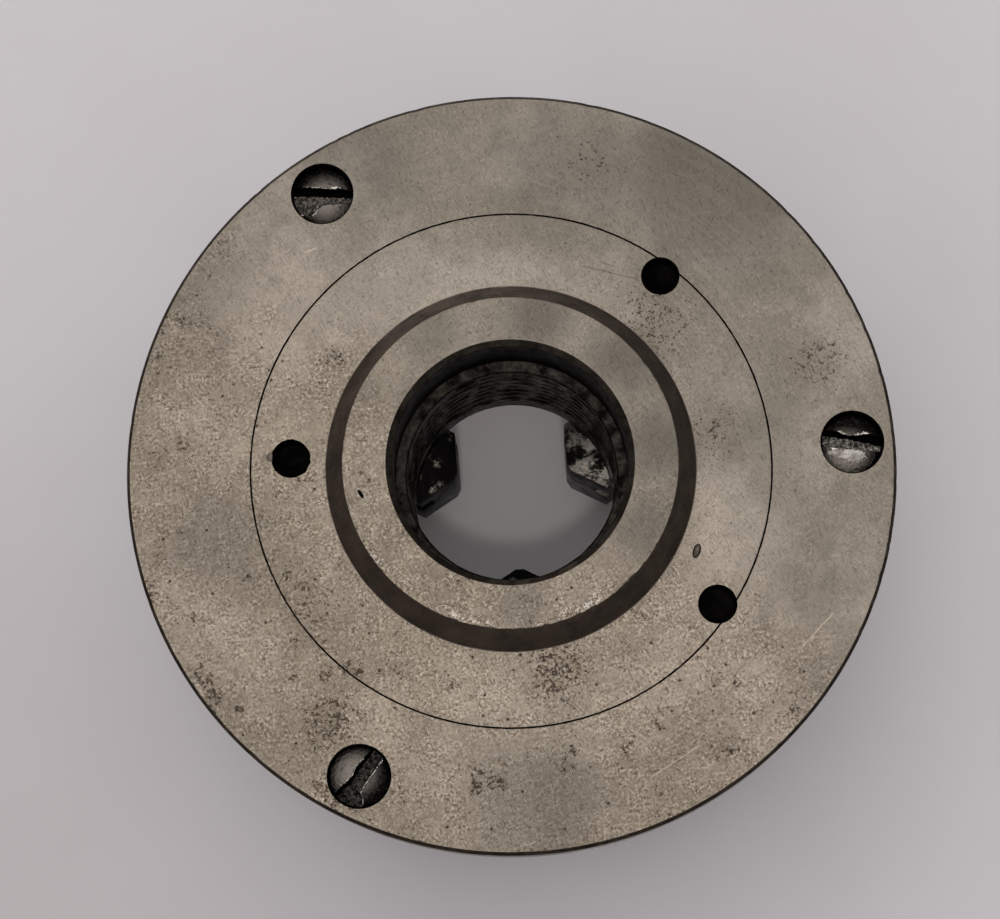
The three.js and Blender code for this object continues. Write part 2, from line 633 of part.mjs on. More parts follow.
[0, 1, 2].forEach((i) => {
  const number = i + 1;
  const jawAngle = threeAngles(JAW_ANGLE)[i];
  const pinionAngle = threeAngles(PINION_ANGLE)[i];
  const [pinDistance, pinBeside] = PIN_PLACE;
  place(`jaw_${number}`, jaw(jawAngle), FINISH.jaw, { turn: jawAngle });
  place(`pinion_${number}`, pinion(), FINISH.pinion, {
    turn: pinionAngle,
    height: level(PINION_AXIS_DEPTH),
  });
  place(`pinion_pin_${number}`, pinionPin(), FINISH.pin, {
    turn: pinionAngle + pinBeside,
    distance: pinDistance,
  });
  place(`cover_screw_${number}`, coverScrew(), FINISH.screw, {
    turn: threeAngles(SCREW_ANGLE)[i],
    distance: SCREW_CIRCLE_RADIUS,
    spin: SCREW_SLOT_TURNS[i],
  });
  place(`flange_dowel_${number}`, flangeDowel(), FINISH.pin, {
    turn: threeAngles(DOWEL_ANGLE)[i],
    distance: DOWEL_CIRCLE_RADIUS,
  });
});

export default chuck;
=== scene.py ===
"""Looks of a three-jaw scroll chuck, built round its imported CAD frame.

Lengths are in millimetres and angles in degrees until a mesh is made, which is in metres. Most
levels are given as a depth below the rear face, as they are in the CAD source.
"""

import math
import random

import bmesh
import bpy
from mathutils import Matrix, Vector, noise


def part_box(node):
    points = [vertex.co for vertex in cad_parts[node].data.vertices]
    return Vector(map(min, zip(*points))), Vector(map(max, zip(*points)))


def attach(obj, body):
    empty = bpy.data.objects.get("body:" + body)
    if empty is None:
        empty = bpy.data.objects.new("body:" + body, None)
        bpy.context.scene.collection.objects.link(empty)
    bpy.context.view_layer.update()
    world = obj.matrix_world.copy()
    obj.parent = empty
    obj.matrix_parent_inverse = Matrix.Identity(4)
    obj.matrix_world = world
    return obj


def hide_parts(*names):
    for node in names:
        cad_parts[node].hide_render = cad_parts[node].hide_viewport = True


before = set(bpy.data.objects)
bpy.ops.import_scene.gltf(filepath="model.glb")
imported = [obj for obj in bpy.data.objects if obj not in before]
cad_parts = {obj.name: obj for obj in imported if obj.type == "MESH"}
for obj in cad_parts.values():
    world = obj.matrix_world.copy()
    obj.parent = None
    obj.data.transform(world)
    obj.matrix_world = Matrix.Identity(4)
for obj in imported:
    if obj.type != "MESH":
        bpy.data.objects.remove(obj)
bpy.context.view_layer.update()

MM = 0.001  # metres in a millimetre

# ---------------------------------------------------------------- dimensions, millimetres
COVER_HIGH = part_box("rear_cover_ring")[1]
BODY_LOW, BODY_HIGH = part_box("chuck_body")
REAR_FACE = COVER_HIGH.z / MM
COVER_RADIUS = COVER_HIGH.x / MM
BODY_RADIUS = BODY_HIGH.x / MM
FRONT_DEPTH = REAR_FACE - BODY_LOW.z / MM
BODY_TOP_DEPTH = REAR_FACE - BODY_HIGH.z / MM
BOSS_HEIGHT = (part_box("spindle_flange")[1].z - COVER_HIGH.z) / MM
GAP = 0.3  # between faces that rest on each other in the CAD
OVERCUT = 1.0  # how far a cutting tool runs past a face

COVER_DEPTH = 8.0
SPIGOT_DEPTH = 9.3
RIM_CHAMFER = 0.5
# The dark line round the rim is a painted reflection: the rim's chamfer and the top of its side are painted
# dark, as the dark surroundings they mirror.
RIM_BAND = 1.6  # width of the dark line round the rim
FRONT_CHAMFER = 1.5
JOINT_OUTSIDE = 42.385
JOINT_INSIDE = 42.215
SHOULDER = 48.0
SHOULDER_DEPTH = 4.0
CHAMBER = 51.0
CHAMBER_DEPTH = 37.6
FRONT_BORE = 22.0

BOSS_BASE = 30.0
BOSS_TOP = 27.0
MOUTH = 20.0
REGISTER = 19.05
REGISTER_END = 7.0
THREAD_MINOR = 17.3
THREAD_MAJOR = 19.05
THREAD_PITCH = 3.175
THREAD_START_DEPTH = 9.5
THREAD_START_ANGLE = 120.0
THREAD_TURNS = 6.5
THREAD_END_DEPTH = THREAD_START_DEPTH + THREAD_PITCH * THREAD_TURNS
PLAIN_BORE = 17.0
SLEEVE = 22.0
SLEEVE_DEPTH = 34.8

SCREW_CIRCLE = 55.5
SCREW_ANGLES = (0, 120, 240)
SCREW_TURNS = (-9, -124, -192)
SCREW_HEAD = 4.8
SCREW_HEAD_HEIGHT = 3.4
SCREW_RECESS = 1.0
SCREW_SEAT_DEPTH = 4.7
SCREW_END_DEPTH = 20.0
SCREW_THREAD = 3.0
SCREW_THREAD_ROOT = 2.5
SCREW_PITCH = 1.0
SCREW_CLEARANCE = 3.3
SCREW_HOLE_DEPTH = 21.0
COUNTERBORE = 5.05

DRILLED_RADIUS = 3.05
DRILLED_DEPTH = 5.0
DRILLED_TIP = 1.6
# Drilled holes: distance from the axis, angle, and the seed of a ragged mouth or 0 for a clean one.
DRILLED_HOLES = ((40.1, 48.2, 0.0), (35.8, 173.4, 4.7), (40.1, 321.9, 0.0))

JAW_ANGLES = (30, 150, 270)
JAW_HALF = 6.75
SLOT_TOP_DEPTH = 34.9
RIB_DEPTHS = (43.5, 47.5)
RIB_REACH = 2.2

PINION_ANGLES = (90, 210, 330)
PINION_DEPTH = 18.3
PINION_BORE = 8.7
PINION_END = 59.3
PINION_BARREL = 8.4
PINION_GROOVE = 7.2
PINION_GROOVE_ENDS = (52.4, 56.9)
TEETH_END = 48.9  # where the pinion's teeth have run into its barrel
SOCKET_HALF = 4.0
SOCKET_BOTTOM = 50.3

PIN_RADIUS = 1.75
PIN_DEPTHS = (8.6, 24.0)
PIN_HOLE = 2.05
PIN_HOLE_DEPTH = 24.6
PIN_DISTANCE = 54.65
PIN_OFFSET = 9.25  # from the pinion's axis
DOWEL_RADIUS = 1.5
DOWEL_DEPTHS = (2.0, 7.6)
DOWEL_ANGLES = (30, 150, 270)
DOWEL_CIRCLE = 45.2
DOWEL_HOLE = 1.7
DOWEL_HOLE_DEPTHS = (1.7, 9.9)
WASHER_RADII = (22.6, 32.5)
WASHER_DEPTHS = (8.25, 8.95)


def level(depth):
    """Height above the surface the chuck stands on, from a depth below the rear face."""
    return REAR_FACE - depth


def polar(radius, degrees):
    turn = math.radians(degrees)
    return radius * math.cos(turn), radius * math.sin(turn)


# ---------------------------------------------------------------- shader building
class Shader:
    """A node material whose pattern is laid out in millimetres of the piece itself."""

    def __init__(self, name):
        self.material = bpy.data.materials.new(name)
        self.material.use_nodes = True
        self.tree = self.material.node_tree
        self.tree.nodes.clear()
        self.output = self.tree.nodes.new("ShaderNodeOutputMaterial")
        self.bsdf = self.tree.nodes.new("ShaderNodeBsdfPrincipled")
        self.tree.links.new(self.bsdf.outputs[0], self.output.inputs[0])
        place = self.tree.nodes.new("ShaderNodeTexCoord").outputs["Object"]
        self.place = self.vector("SCALE", place, scale=1 / MM)

    def feed(self, socket, value):
        if isinstance(value, bpy.types.NodeSocket):
            self.tree.links.new(value, socket)
        else:
            socket.default_value = value

    def vector(self, operation, a, b=None, scale=None):
        node = self.tree.nodes.new("ShaderNodeVectorMath")
        node.operation = operation
        self.feed(node.inputs[0], a)
        if b is not None:
            self.feed(node.inputs[1], b)
        if scale is not None:
            self.feed(node.inputs["Scale"], scale)
        return node.outputs["Value" if operation == "LENGTH" else "Vector"]

    def math(self, operation, a, b=0.0, c=0.0, clamp=False):
        node = self.tree.nodes.new("ShaderNodeMath")
        node.operation = operation
        node.use_clamp = clamp
        for socket, value in zip(node.inputs, (a, b, c)):
            self.feed(socket, value)
        return node.outputs[0]

    def times(self, a, b, plus=0.0, clamp=False):
        return self.math("MULTIPLY_ADD", a, b, plus, clamp)

    def parts(self, vector):
        node = self.tree.nodes.new("ShaderNodeSeparateXYZ")
        self.feed(node.inputs[0], vector)
        return node.outputs[0], node.outputs[1], node.outputs[2]

    def join(self, x, y, z):
        node = self.tree.nodes.new("ShaderNodeCombineXYZ")
        for socket, value in zip(node.inputs, (x, y, z)):
            self.feed(socket, value)
        return node.outputs[0]

    def ramp(self, value, low, high, bottom=0.0, top=1.0):
        """value taken from low..high to bottom..top with soft ends."""
        node = self.tree.nodes.new("ShaderNodeMapRange")
        node.interpolation_type = "SMOOTHSTEP"
        for name, given in zip(
            ("Value", "From Min", "From Max", "To Min", "To Max"), (value, low, high, bottom, top)
        ):
            self.feed(node.inputs[name], given)
        return node.outputs["Result"]

    def noise(self, size, detail=3.0, roughness=0.55, at=None, shift=0.0):
        """Noise whose blotches are about size millimetres across."""
        node = self.tree.nodes.new("ShaderNodeTexNoise")
        place = self.place if at is None else at
        if shift:
            place = self.vector("ADD", place, (shift, shift, shift))
        self.feed(node.inputs["Vector"], place)
        self.feed(node.inputs["Scale"], 1 / size)
        self.feed(node.inputs["Detail"], detail)
        self.feed(node.inputs["Roughness"], roughness)
        return node.outputs[0]

    def cells(self, size, shift):
        """Distance to the nearest of points about size millimetres apart, in parts of size."""
        node = self.tree.nodes.new("ShaderNodeTexVoronoi")
        place = self.vector("ADD", self.place, (shift, shift, shift))
        self.feed(node.inputs["Vector"], place)
        self.feed(node.inputs["Scale"], 1 / size)
        return node.outputs["Distance"]

    def mix(self, factor, a, b):
        node = self.tree.nodes.new("ShaderNodeMix")
        node.data_type = "RGBA"
        node.clamp_factor = True
        for socket, value in zip((node.inputs[0], node.inputs[6], node.inputs[7]), (factor, a, b)):
            self.feed(socket, colour(value) if isinstance(value, str) else value)
        return node.outputs[2]

    def radius(self):
        x, y, _ = self.parts(self.place)
        return self.math("SQRT", self.times(x, x, self.times(y, y)))

    def spot(self, x, y, size, soft):
        """1 at a place on the rear face, falling to 0 at size millimetres from it over a soft share."""
        px, py, _ = self.parts(self.place)
        offset = self.join(self.math("SUBTRACT", px, x), self.math("SUBTRACT", py, y), 0.0)
        away = self.vector("LENGTH", offset)
        return self.ramp(away, size * (1 - soft), size, 1.0, 0.0)

    def finish(self, base, roughness, height, metallic=1.0):
        """The finished material. height is in millimetres."""
        node = self.tree.nodes.new("ShaderNodeBump")
        node.inputs["Strength"].default_value = 1.0
        node.inputs["Distance"].default_value = MM
        self.feed(node.inputs["Height"], height)
        self.feed(self.bsdf.inputs["Normal"], node.outputs[0])
        self.feed(self.bsdf.inputs["Base Color"], base)
        self.feed(self.bsdf.inputs["Roughness"], roughness)
        self.bsdf.inputs["Metallic"].default_value = metallic
        return self.material


def colour(code):
    """Linear colour from a #rrggbb code."""
    parts = [int(code[i : i + 2], 16) / 255 for i in (1, 3, 5)]
    linear = [p / 12.92 if p <= 0.04045 else ((p + 0.055) / 1.055) ** 2.4 for p in parts]
    return (*linear, 1.0)


def rings(shader, width):
    """Coordinates that run fast outwards and slowly round the axis, for turning marks."""
    x, y, _ = shader.parts(shader.place)
    radius = shader.radius()
    outwards = shader.math("DIVIDE", radius, width)
    return shader.join(outwards, shader.math("DIVIDE", x, radius), shader.math("DIVIDE", y, radius))


def streaks(shader, degrees, width, length, share, shift):
    """Mask of straight scratches that run one way."""
    node = shader.tree.nodes.new("ShaderNodeMapping")
    node.inputs["Rotation"].default_value = (0, 0, math.radians(degrees))
    shader.feed(node.inputs["Vector"], shader.place)
    stretch = shader.vector("MULTIPLY", node.outputs[0], (1 / length, 1 / width, 1 / length))
    lines = shader.noise(1.0, 2.0, 0.5, at=stretch, shift=shift)
    return shader.ramp(lines, share, share + 0.05)


def scratch(shader, start_x, start_y, end_x, end_y, width):
    """Mask of one scratch between two places on the rear face."""
    length = math.hypot(end_x - start_x, end_y - start_y)
    dir_x, dir_y = (end_x - start_x) / length, (end_y - start_y) / length
    x, y, _ = shader.parts(shader.place)
    x, y = shader.math("SUBTRACT", x, start_x), shader.math("SUBTRACT", y, start_y)
    along = shader.times(x, dir_x, shader.times(y, dir_y))
    across = shader.times(x, -dir_y, shader.times(y, dir_x))
    across = shader.times(shader.noise(2.5, 3, shift=length), 0.5, across)
    away = shader.math("ABSOLUTE", shader.math("SUBTRACT", across, 0.25))
    ends = shader.times(shader.ramp(along, 0, 0.8), shader.ramp(along, length - 0.8, length, 1.0, 0.0))
    return shader.times(ends, shader.ramp(away, width * 0.3, width, 0.5, 0.0))


WARM_TINT = "#988974"
SMOOTH_TINT = "#5f594f"
BRIGHT_TINT = "#bcae9c"
BROWN_TINT = "#5a4939"
# The pit tint also serves as the painted shade beside the boss's curls.
PIT_AND_SHADE_TINT = "#3a291c"
CURL_TINT = "#cdc2b2"

# Pitted patches on the rear face: x, y, size, strength.
PIT_PATCHES = (
    (-31.8, -38.8, 9.0, 0.9),
    (5.5, -33.5, 9.0, 0.95),
    (51.5, 13.9, 8.0, 0.70),
    (25.0, 22.0, 12.0, 0.66),
    (33.0, 3.0, 9.0, 0.50),
    (16.0, 50.0, 9.0, 0.45),
    (-34.0, -20.0, 11.0, 0.55),
    (-27.4, 19.9, 4.0, 0.7),
    (-20.0, -12.0, 12.0, 0.5),
    (8.0, -24.0, 6.0, 0.8),
)

# Smooth grey-olive places, darker than their surroundings: x, y, size, share.
SMOOTH_PATCHES = (
    (12.0, 50.0, 22.0, 0.55),
    (38.0, 43.0, 26.0, 0.85),
    (39.0, 3.0, 13.0, 0.45),
    (-48.0, -8.0, 14.0, 0.45),
    (46.0, -22.0, 10.0, 0.25),
    (33.0, 50.0, 14.0, 0.75),
    (-20.0, 54.0, 14.0, 0.55),
    (-47.0, 34.0, 12.0, 0.40),
    (0.0, -54.0, 18.0, 0.55),
    (6.0, 23.5, 9.0, 1.0),
    (-10.0, 22.0, 6.0, 0.6),
    (19.0, 15.0, 9.0, 1.0),
    (24.0, 1.0, 9.0, 1.0),
    (20.0, -12.0, 8.0, 0.8),
    (0.0, -24.0, 8.0, 0.5),
)

# Single scratches on the rear face: from x, y to x, y, width, tint.
SCRATCHES = (
    (13.8, 32.7, 23.4, 29.5, 0.22, BROWN_TINT),
    (16.5, 33.4, 19.5, 31.9, 0.16, BROWN_TINT),
    (-28.8, 21.4, -26.6, 18.6, 0.30, BRIGHT_TINT),
    (-31.6, 38.2, -28.9, 39.1, 0.22, BRIGHT_TINT),
    (-12.5, -22.0, -8.5, -23.2, 0.22, BROWN_TINT),
    (44.0, -33.0, 50.0, -27.5, 0.18, BRIGHT_TINT),
    (18.0, -52.0, 27.0, -47.0, 0.16, BRIGHT_TINT),
)


def speckled(s, base, fine, mottle, crowd):
    """Fine dark and bright grains in clumps, and blotches a little larger, densest in a crowd."""
    clumps = s.ramp(s.noise(3.2, 4, 0.65, shift=37), 0.36, 0.62, 0.35, 1.15)
    share = s.times(s.ramp(crowd, 0.0, 0.9, 0.24, 0.88), clumps)
    base = s.mix(s.times(s.ramp(fine, 0.36, 0.50, 1.0, 0.0), share), base, BROWN_TINT)
    base = s.mix(s.times(s.ramp(fine, 0.51, 0.66), share), base, BRIGHT_TINT)
    dark_share = s.ramp(crowd, 0, 1, 0.05, 0.22)
    base = s.mix(s.times(s.ramp(mottle, 0.36, 0.50, 1.0, 0.0), dark_share), base, BROWN_TINT)
    bright_share = s.ramp(crowd, 0, 1, 0.04, 0.16)
    return s.mix(s.times(s.ramp(mottle, 0.52, 0.64), bright_share), base, BRIGHT_TINT)


def smoothed(s, base):
    """Darker smooth places: small ones everywhere, and the large ones of SMOOTH_PATCHES."""
    patches = s.ramp(s.noise(11, 6, 0.66, shift=31), 0.47, 0.53)
    base = s.mix(s.times(patches, 0.20), base, SMOOTH_TINT)
    for x, y, size, share in SMOOTH_PATCHES:
        base = s.mix(s.times(s.spot(x, y, size, 0.85), share), base, SMOOTH_TINT)
    return base


def pitted(s, base, crowd, patches):
    """Rust clusters with dark pits in them. Gives the colour and the mask of the pits."""
    cluster = s.times(s.ramp(s.noise(6.5, 4, 0.7, shift=47), 0.53, 0.70), crowd)
    for x, y, size, strength in patches:
        cluster = s.math("MAXIMUM", cluster, s.times(s.spot(x, y, size, 0.9), strength))
    rust = s.math("SUBTRACT", s.noise(0.6, 4, 0.75, shift=83), s.times(cluster, 0.18, 0.29))
    pits = s.ramp(rust, -0.03, 0.04, 0.8, 0.0)
    large = s.ramp(s.cells(3.1, 43), 0.04, 0.10, 1.0, 0.0)
    pits = s.math("MAXIMUM", pits, s.times(large, s.ramp(crowd, 0.05, 0.5, 0.25, 0.9)))
    base = s.mix(s.times(cluster, 0.20), base, BROWN_TINT)
    return s.mix(s.times(pits, 0.75), base, PIT_AND_SHADE_TINT), pits


def curled(s, base):
    """Bright turned-up metal and its dark shade along the low side of the boss's edge."""
    x, y, _ = s.parts(s.place)
    wander = s.math("ABSOLUTE", s.math("SUBTRACT", s.noise(2.4, 3, 0.55, shift=63), 0.5))
    rising = s.ramp(s.radius(), BOSS_TOP - 2.8, BOSS_TOP - 0.9)
    edge = s.times(rising, s.ramp(s.radius(), BOSS_TOP - 0.1, BOSS_TOP - 0.3))
    low_side = s.ramp(s.times(x, 0.35, y), -20, -10, 1.0, 0.0)
    broken = s.ramp(s.noise(3.5, 3, 0.6, shift=29), 0.44, 0.54)
    where = s.times(edge, s.times(low_side, broken))
    # Painted shade beside the curls.
    base = s.mix(s.times(s.ramp(wander, 0.03, 0.08, 0.55, 0.0), where), base, PIT_AND_SHADE_TINT)
    return s.mix(s.times(s.ramp(wander, 0.0, 0.040, 0.75, 0.0), where), base, CURL_TINT)


def worn_steel(name, light, dark, pit_patches, crowding, curls=False):
    """Satin steel with soft patches, crowded specks and pits, scratches and faint turning marks.

    crowding is how much of the speckle lies on the lower left half.
    """
    s = Shader(name)
    x, y, _ = s.parts(s.place)
    clouds = s.ramp(s.noise(17, 5, 0.58), 0.40, 0.60)
    lower_left = s.times(y, -0.0085, s.times(x, -0.0060))
    worn = s.times(lower_left, crowding, s.noise(14, 5, 0.62, shift=71))
    crowd = s.ramp(worn, 0.40, 0.66)
    fine = s.noise(0.5, 3, 0.75, shift=5)
    mottle = s.noise(1.5, 5, 0.72, shift=11)

    base = s.mix(clouds, dark, light)
    beige = s.times(s.ramp(lower_left, -0.30, 0.30, 0.1, 1.0), crowding)
    base = s.mix(s.times(beige, 0.50), base, WARM_TINT)
    base = smoothed(s, speckled(s, base, fine, mottle, crowd))

    nicks = s.math("MAXIMUM", streaks(s, 66, 0.13, 1.9, 0.64, 41), streaks(s, -38, 0.12, 1.6, 0.65, 77))
    base = s.mix(s.times(nicks, s.ramp(crowd, 0, 1, 0.15, 0.60)), base, BROWN_TINT)
    glints = s.math("MAXIMUM", streaks(s, 80, 0.12, 1.7, 0.66, 91), streaks(s, -20, 0.12, 2.1, 0.66, 19))
    base = s.mix(s.times(glints, s.ramp(crowd, 0, 1, 0.15, 0.55)), base, BRIGHT_TINT)
    base, pits = pitted(s, base, crowd, pit_patches)
    if curls:
        base = curled(s, base)

    marks = s.math("MAXIMUM", streaks(s, 24, 0.16, 18, 0.70, 3), streaks(s, -57, 0.14, 13, 0.71, 57))
    base = s.mix(s.times(marks, 0.25), base, BRIGHT_TINT)
    for start_x, start_y, end_x, end_y, width, tint in SCRATCHES:
        base = s.mix(scratch(s, start_x, start_y, end_x, end_y, width), base, tint)
    lathe_marks = s.noise(1.0, 3, 0.65, at=rings(s, 0.5), shift=9)
    lathe_share = s.times(s.ramp(s.noise(30, 3, shift=101), 0.45, 0.62), 0.5)
    lathe_light = s.times(s.ramp(lathe_marks, 0.45, 0.62), s.times(lathe_share, 0.09))
    base = s.mix(lathe_light, base, BRIGHT_TINT)

    height = s.times(fine, 0.014, s.times(pits, -0.07))
    height = s.times(mottle, 0.03, height)
    height = s.times(nicks, -0.02, height)
    height = s.times(marks, -0.006, height)
    height = s.times(s.times(lathe_marks, lathe_share), 0.02, height)
    rough = s.times(clouds, -0.05, 0.46)
    rough = s.times(crowd, 0.08, rough)
    rough = s.times(pits, 0.3, rough, clamp=True)
    return s.finish(base, rough, height)


def turned_steel(name, light, dark, roughness):
    """Bright turned side of the body: fine rings round it, finger stains, dings and rust specks."""
    s = Shader(name)
    x, y, z = s.parts(s.place)
    radius = s.radius()
    round_x, round_y = s.math("DIVIDE", x, radius), s.math("DIVIDE", y, radius)
    fine_rings = s.noise(1.0, 3, 0.6, at=s.join(round_x, round_y, s.math("DIVIDE", z, 0.16)), shift=9)
    broad_rings = s.noise(1.0, 2, 0.6, at=s.join(round_x, round_y, s.math("DIVIDE", z, 1.3)), shift=21)
    stains = s.ramp(s.noise(15, 5, 0.62), 0.42, 0.62)
    smudges = s.ramp(s.noise(5, 5, 0.7, shift=61), 0.50, 0.66)
    grain = s.noise(0.45, 3, 0.7, shift=5)
    base = s.mix(stains, dark, light)
    base = s.mix(s.ramp(broad_rings, 0.3, 0.7, 0.0, 0.25), base, BRIGHT_TINT)
    base = s.mix(s.ramp(fine_rings, 0.35, 0.55, 0.30, 0.0), base, BROWN_TINT)
    base = s.mix(s.ramp(grain, 0.3, 0.6, 0.20, 0.0), base, BROWN_TINT)
    base = s.mix(s.times(smudges, 0.28), base, "#4d4238")
    rust = s.ramp(s.noise(0.6, 4, 0.75, shift=83), 0.33, 0.38, 1.0, 0.0)
    crowd = s.ramp(s.noise(8, 4, 0.65, shift=47), 0.50, 0.66)
    pits = s.times(rust, s.times(crowd, 0.8, 0.15))
    base = s.mix(s.times(pits, 0.8), base, PIT_AND_SHADE_TINT)
    scuffs = streaks(s, 71, 0.14, 9, 0.70, 15)
    base = s.mix(s.times(scuffs, 0.4), base, BRIGHT_TINT)
    height = s.times(fine_rings, 0.020)
    height = s.times(grain, 0.008, height)
    height = s.times(pits, -0.05, height)
    rough = s.times(smudges, 0.12, roughness)
    rough = s.times(pits, 0.3, rough, clamp=True)
    return s.finish(base, rough, height)


def plain_steel(
    name, light, dark, roughness, smear=3.5, grime_share=0.5, grime="#1b1815", grain_depth=0.01
):
    """Machined steel with smears of old oil and fine grain, for walls, threads and inner pieces."""
    s = Shader(name)
    smears = s.ramp(s.noise(smear, 5, 0.65), 0.35, 0.68)
    film = s.ramp(s.noise(smear * 0.4, 4, 0.65, shift=19), 0.48, 0.66)
    grain = s.noise(0.3, 3, 0.6, shift=7)
    base = s.mix(smears, dark, light)
    base = s.mix(s.ramp(grain, 0.3, 0.7, 0.3, 0.0), base, dark)
    base = s.mix(s.times(film, grime_share), base, grime)
    height = s.times(grain, grain_depth)
    height = s.times(smears, grain_depth, height)
    rough = s.times(smears, -0.08, roughness)
    rough = s.times(film, 0.15, rough, clamp=True)
    return s.finish(base, rough, height)


REAR_STEEL = worn_steel("rear_steel", "#8b8174", "#7b7265", PIT_PATCHES, 1.0)
BOSS_STEEL = worn_steel("boss_steel", "#7c7366", "#6a6257", (), 0.9, curls=True)
BODY_STEEL = turned_steel("body_steel", "#8a8378", "#6b655b", 0.40)


def jaw_steel(number, grease_and_shade_share):
    """Ground jaw steel with chips. Near the bore it is painted darker as shade, darker still on its upright
    faces there, and carries black patches of grease and painted shade; the last argument is how much of it
    they cover.
    """
    s = Shader(f"jaw_steel_{number + 1}")
    patches = s.noise(2.6, 5, 0.68, shift=6.5 + number)
    grain = s.noise(0.4, 3, 0.65, shift=4)
    scratched = streaks(s, 12 + 37 * number, 0.10, 14, 0.62, 13)
    # Painted shade: 1 deep in the bore, falling to 0.12 outwards; it darkens the steel there.
    near = s.ramp(s.radius(), 17, 24, 1.0, 0.12)
    cover = s.ramp(patches, grease_and_shade_share - 0.06, grease_and_shade_share + 0.06, 1.0, 0.0)
    cover = s.times(cover, near)
    base = s.mix(s.ramp(grain, 0.3, 0.7), "#6c665c", "#8f887d")
    base = s.mix(s.times(near, 0.62), base, "#2a2521")
    base = s.mix(s.times(scratched, 0.25), base, "#b4ada2")
    # Black patches of grease and painted shade, held to the bore by the painted shade.
    base = s.mix(cover, base, "#0d0b0a")
    normal = s.tree.nodes.new("ShaderNodeNewGeometry").outputs["Normal"]
    _, _, up = s.parts(s.vector("ABSOLUTE", normal))
    # Painted shade on the upright faces near the bore.
    upright_shade = s.times(s.ramp(up, 0.3, 0.7, 0.85, 0.0), near)
    base = s.mix(upright_shade, base, "#14110f")
    height = s.times(scratched, -0.01, s.times(grain, 0.02))
    height = s.times(cover, 0.03, height)
    return s.finish(base, s.times(cover, 0.12, 0.36), height)


# How much of each jaw is under black patches of grease and painted shade.
JAW_GREASE_AND_SHADE = (0.50, 0.62, 0.60)  # of jaw 1, 2 and 3
# Painted reflection: the rim's chamfer and the top of its side are painted dark.
RIM_REFLECTION_STEEL = plain_steel("rim_painted_reflection", "#4d443a", "#2f2821", 0.5)
WALL_STEEL = plain_steel("boss_wall_steel", "#6a5f56", "#4d443d", 0.5, smear=5, grime_share=0.3)
MOUTH_STEEL = plain_steel("bore_mouth_steel", "#4f473e", "#2c2620", 0.5)
# Painted shade: the register wall and the plain bore are painted near black.
BORE_SHADE_STEEL = plain_steel("bore_painted_shade", "#1c1917", "#0b0a09", 0.5)
THREAD_STEEL = plain_steel("thread_steel", "#4f4840", "#120f0d", 0.45, smear=2.4, grain_depth=0.015)
# Painted shade: the walls of holes and gaps and the hidden inner faces are painted near black.
HOLE_SHADE_STEEL = plain_steel("hole_painted_shade", "#1b1816", "#090807", 0.6)
SCREW_BRIGHT = plain_steel("screw_burr", "#cdc6bb", "#8f877c", 0.28, smear=0.8, grime_share=0.1)
SCREW_SCUFF = plain_steel("screw_scuff", "#aea89d", "#7a7369", 0.34, smear=1.1, grime_share=0.25)
# Painted shadow: the trench below each slot's upper edge is painted near black.
SCREW_SLOT_SHADOW = plain_steel("screw_slot_painted_shadow", "#0b0a09", "#050404", 0.7)
SCREW_CHEWED = (  # the torn floor of each screw's slot
    plain_steel("screw_chewed_1", "#a39d93", "#2a2521", 0.5, 0.8, grime_share=0.4, grain_depth=0.05),
    plain_steel("screw_chewed_2", "#8d857b", "#1c1714", 0.5, 0.7, grain_depth=0.05),
    plain_steel("screw_chewed_3", "#5f5850", "#0f0d0c", 0.5, 0.7, grain_depth=0.05),
)
SCROLL_STEEL = plain_steel("scroll_steel", "#8b867c", "#5b564d", 0.38, smear=9, grime_share=0.35)
PINION_STEEL = plain_steel("pinion_steel", "#807a6f", "#4a453d", 0.38, smear=5, grime_share=0.4)
PIN_STEEL = plain_steel("pin_steel", "#a8a398", "#6d685f", 0.3, smear=4, grime_share=0.2)
WASHER_BRASS = plain_steel("washer_brass", "#b0904f", "#7d6535", 0.38, 5, 0.3, grime="#3a2c16")


# ---------------------------------------------------------------- mesh building
FILLET_STEPS = 3
SUPPORT = 0.25  # distance of the line that holds a flat face flat beside a fillet


def link(name, data):
    """An object of the scene that holds a mesh, light or camera."""
    thing = bpy.data.objects.new(name, data)
    bpy.context.scene.collection.objects.link(thing)
    return thing


def from_work(name, work, materials=()):
    """A mesh object made from a bmesh, which is used up."""
    mesh = bpy.data.meshes.new(name)
    work.to_mesh(mesh)
    work.free()
    for material in materials:
        mesh.materials.append(material)
    return link(name, mesh)


def apply_modifier(piece):
    graph = bpy.context.evaluated_depsgraph_get()
    result = bpy.data.meshes.new_from_object(piece.evaluated_get(graph))
    piece.modifiers.clear()
    piece.data = result
    return piece


def add_piece(name, points, faces, materials, numbers):
    """A mesh object from points in millimetres, with its faces turned outwards."""
    mesh = bpy.data.meshes.new(name)
    mesh.from_pydata([[c * MM for c in p] for p in points], [], faces)
    for material in materials:
        mesh.materials.append(material)
    mesh.polygons.foreach_set("material_index", numbers)
    work = bmesh.new()
    work.from_mesh(mesh)
    bmesh.ops.remove_doubles(work, verts=work.verts, dist=1e-7)
    bmesh.ops.recalc_face_normals(work, faces=work.faces)
    work.to_mesh(mesh)
    work.free()
    return link(name, mesh)


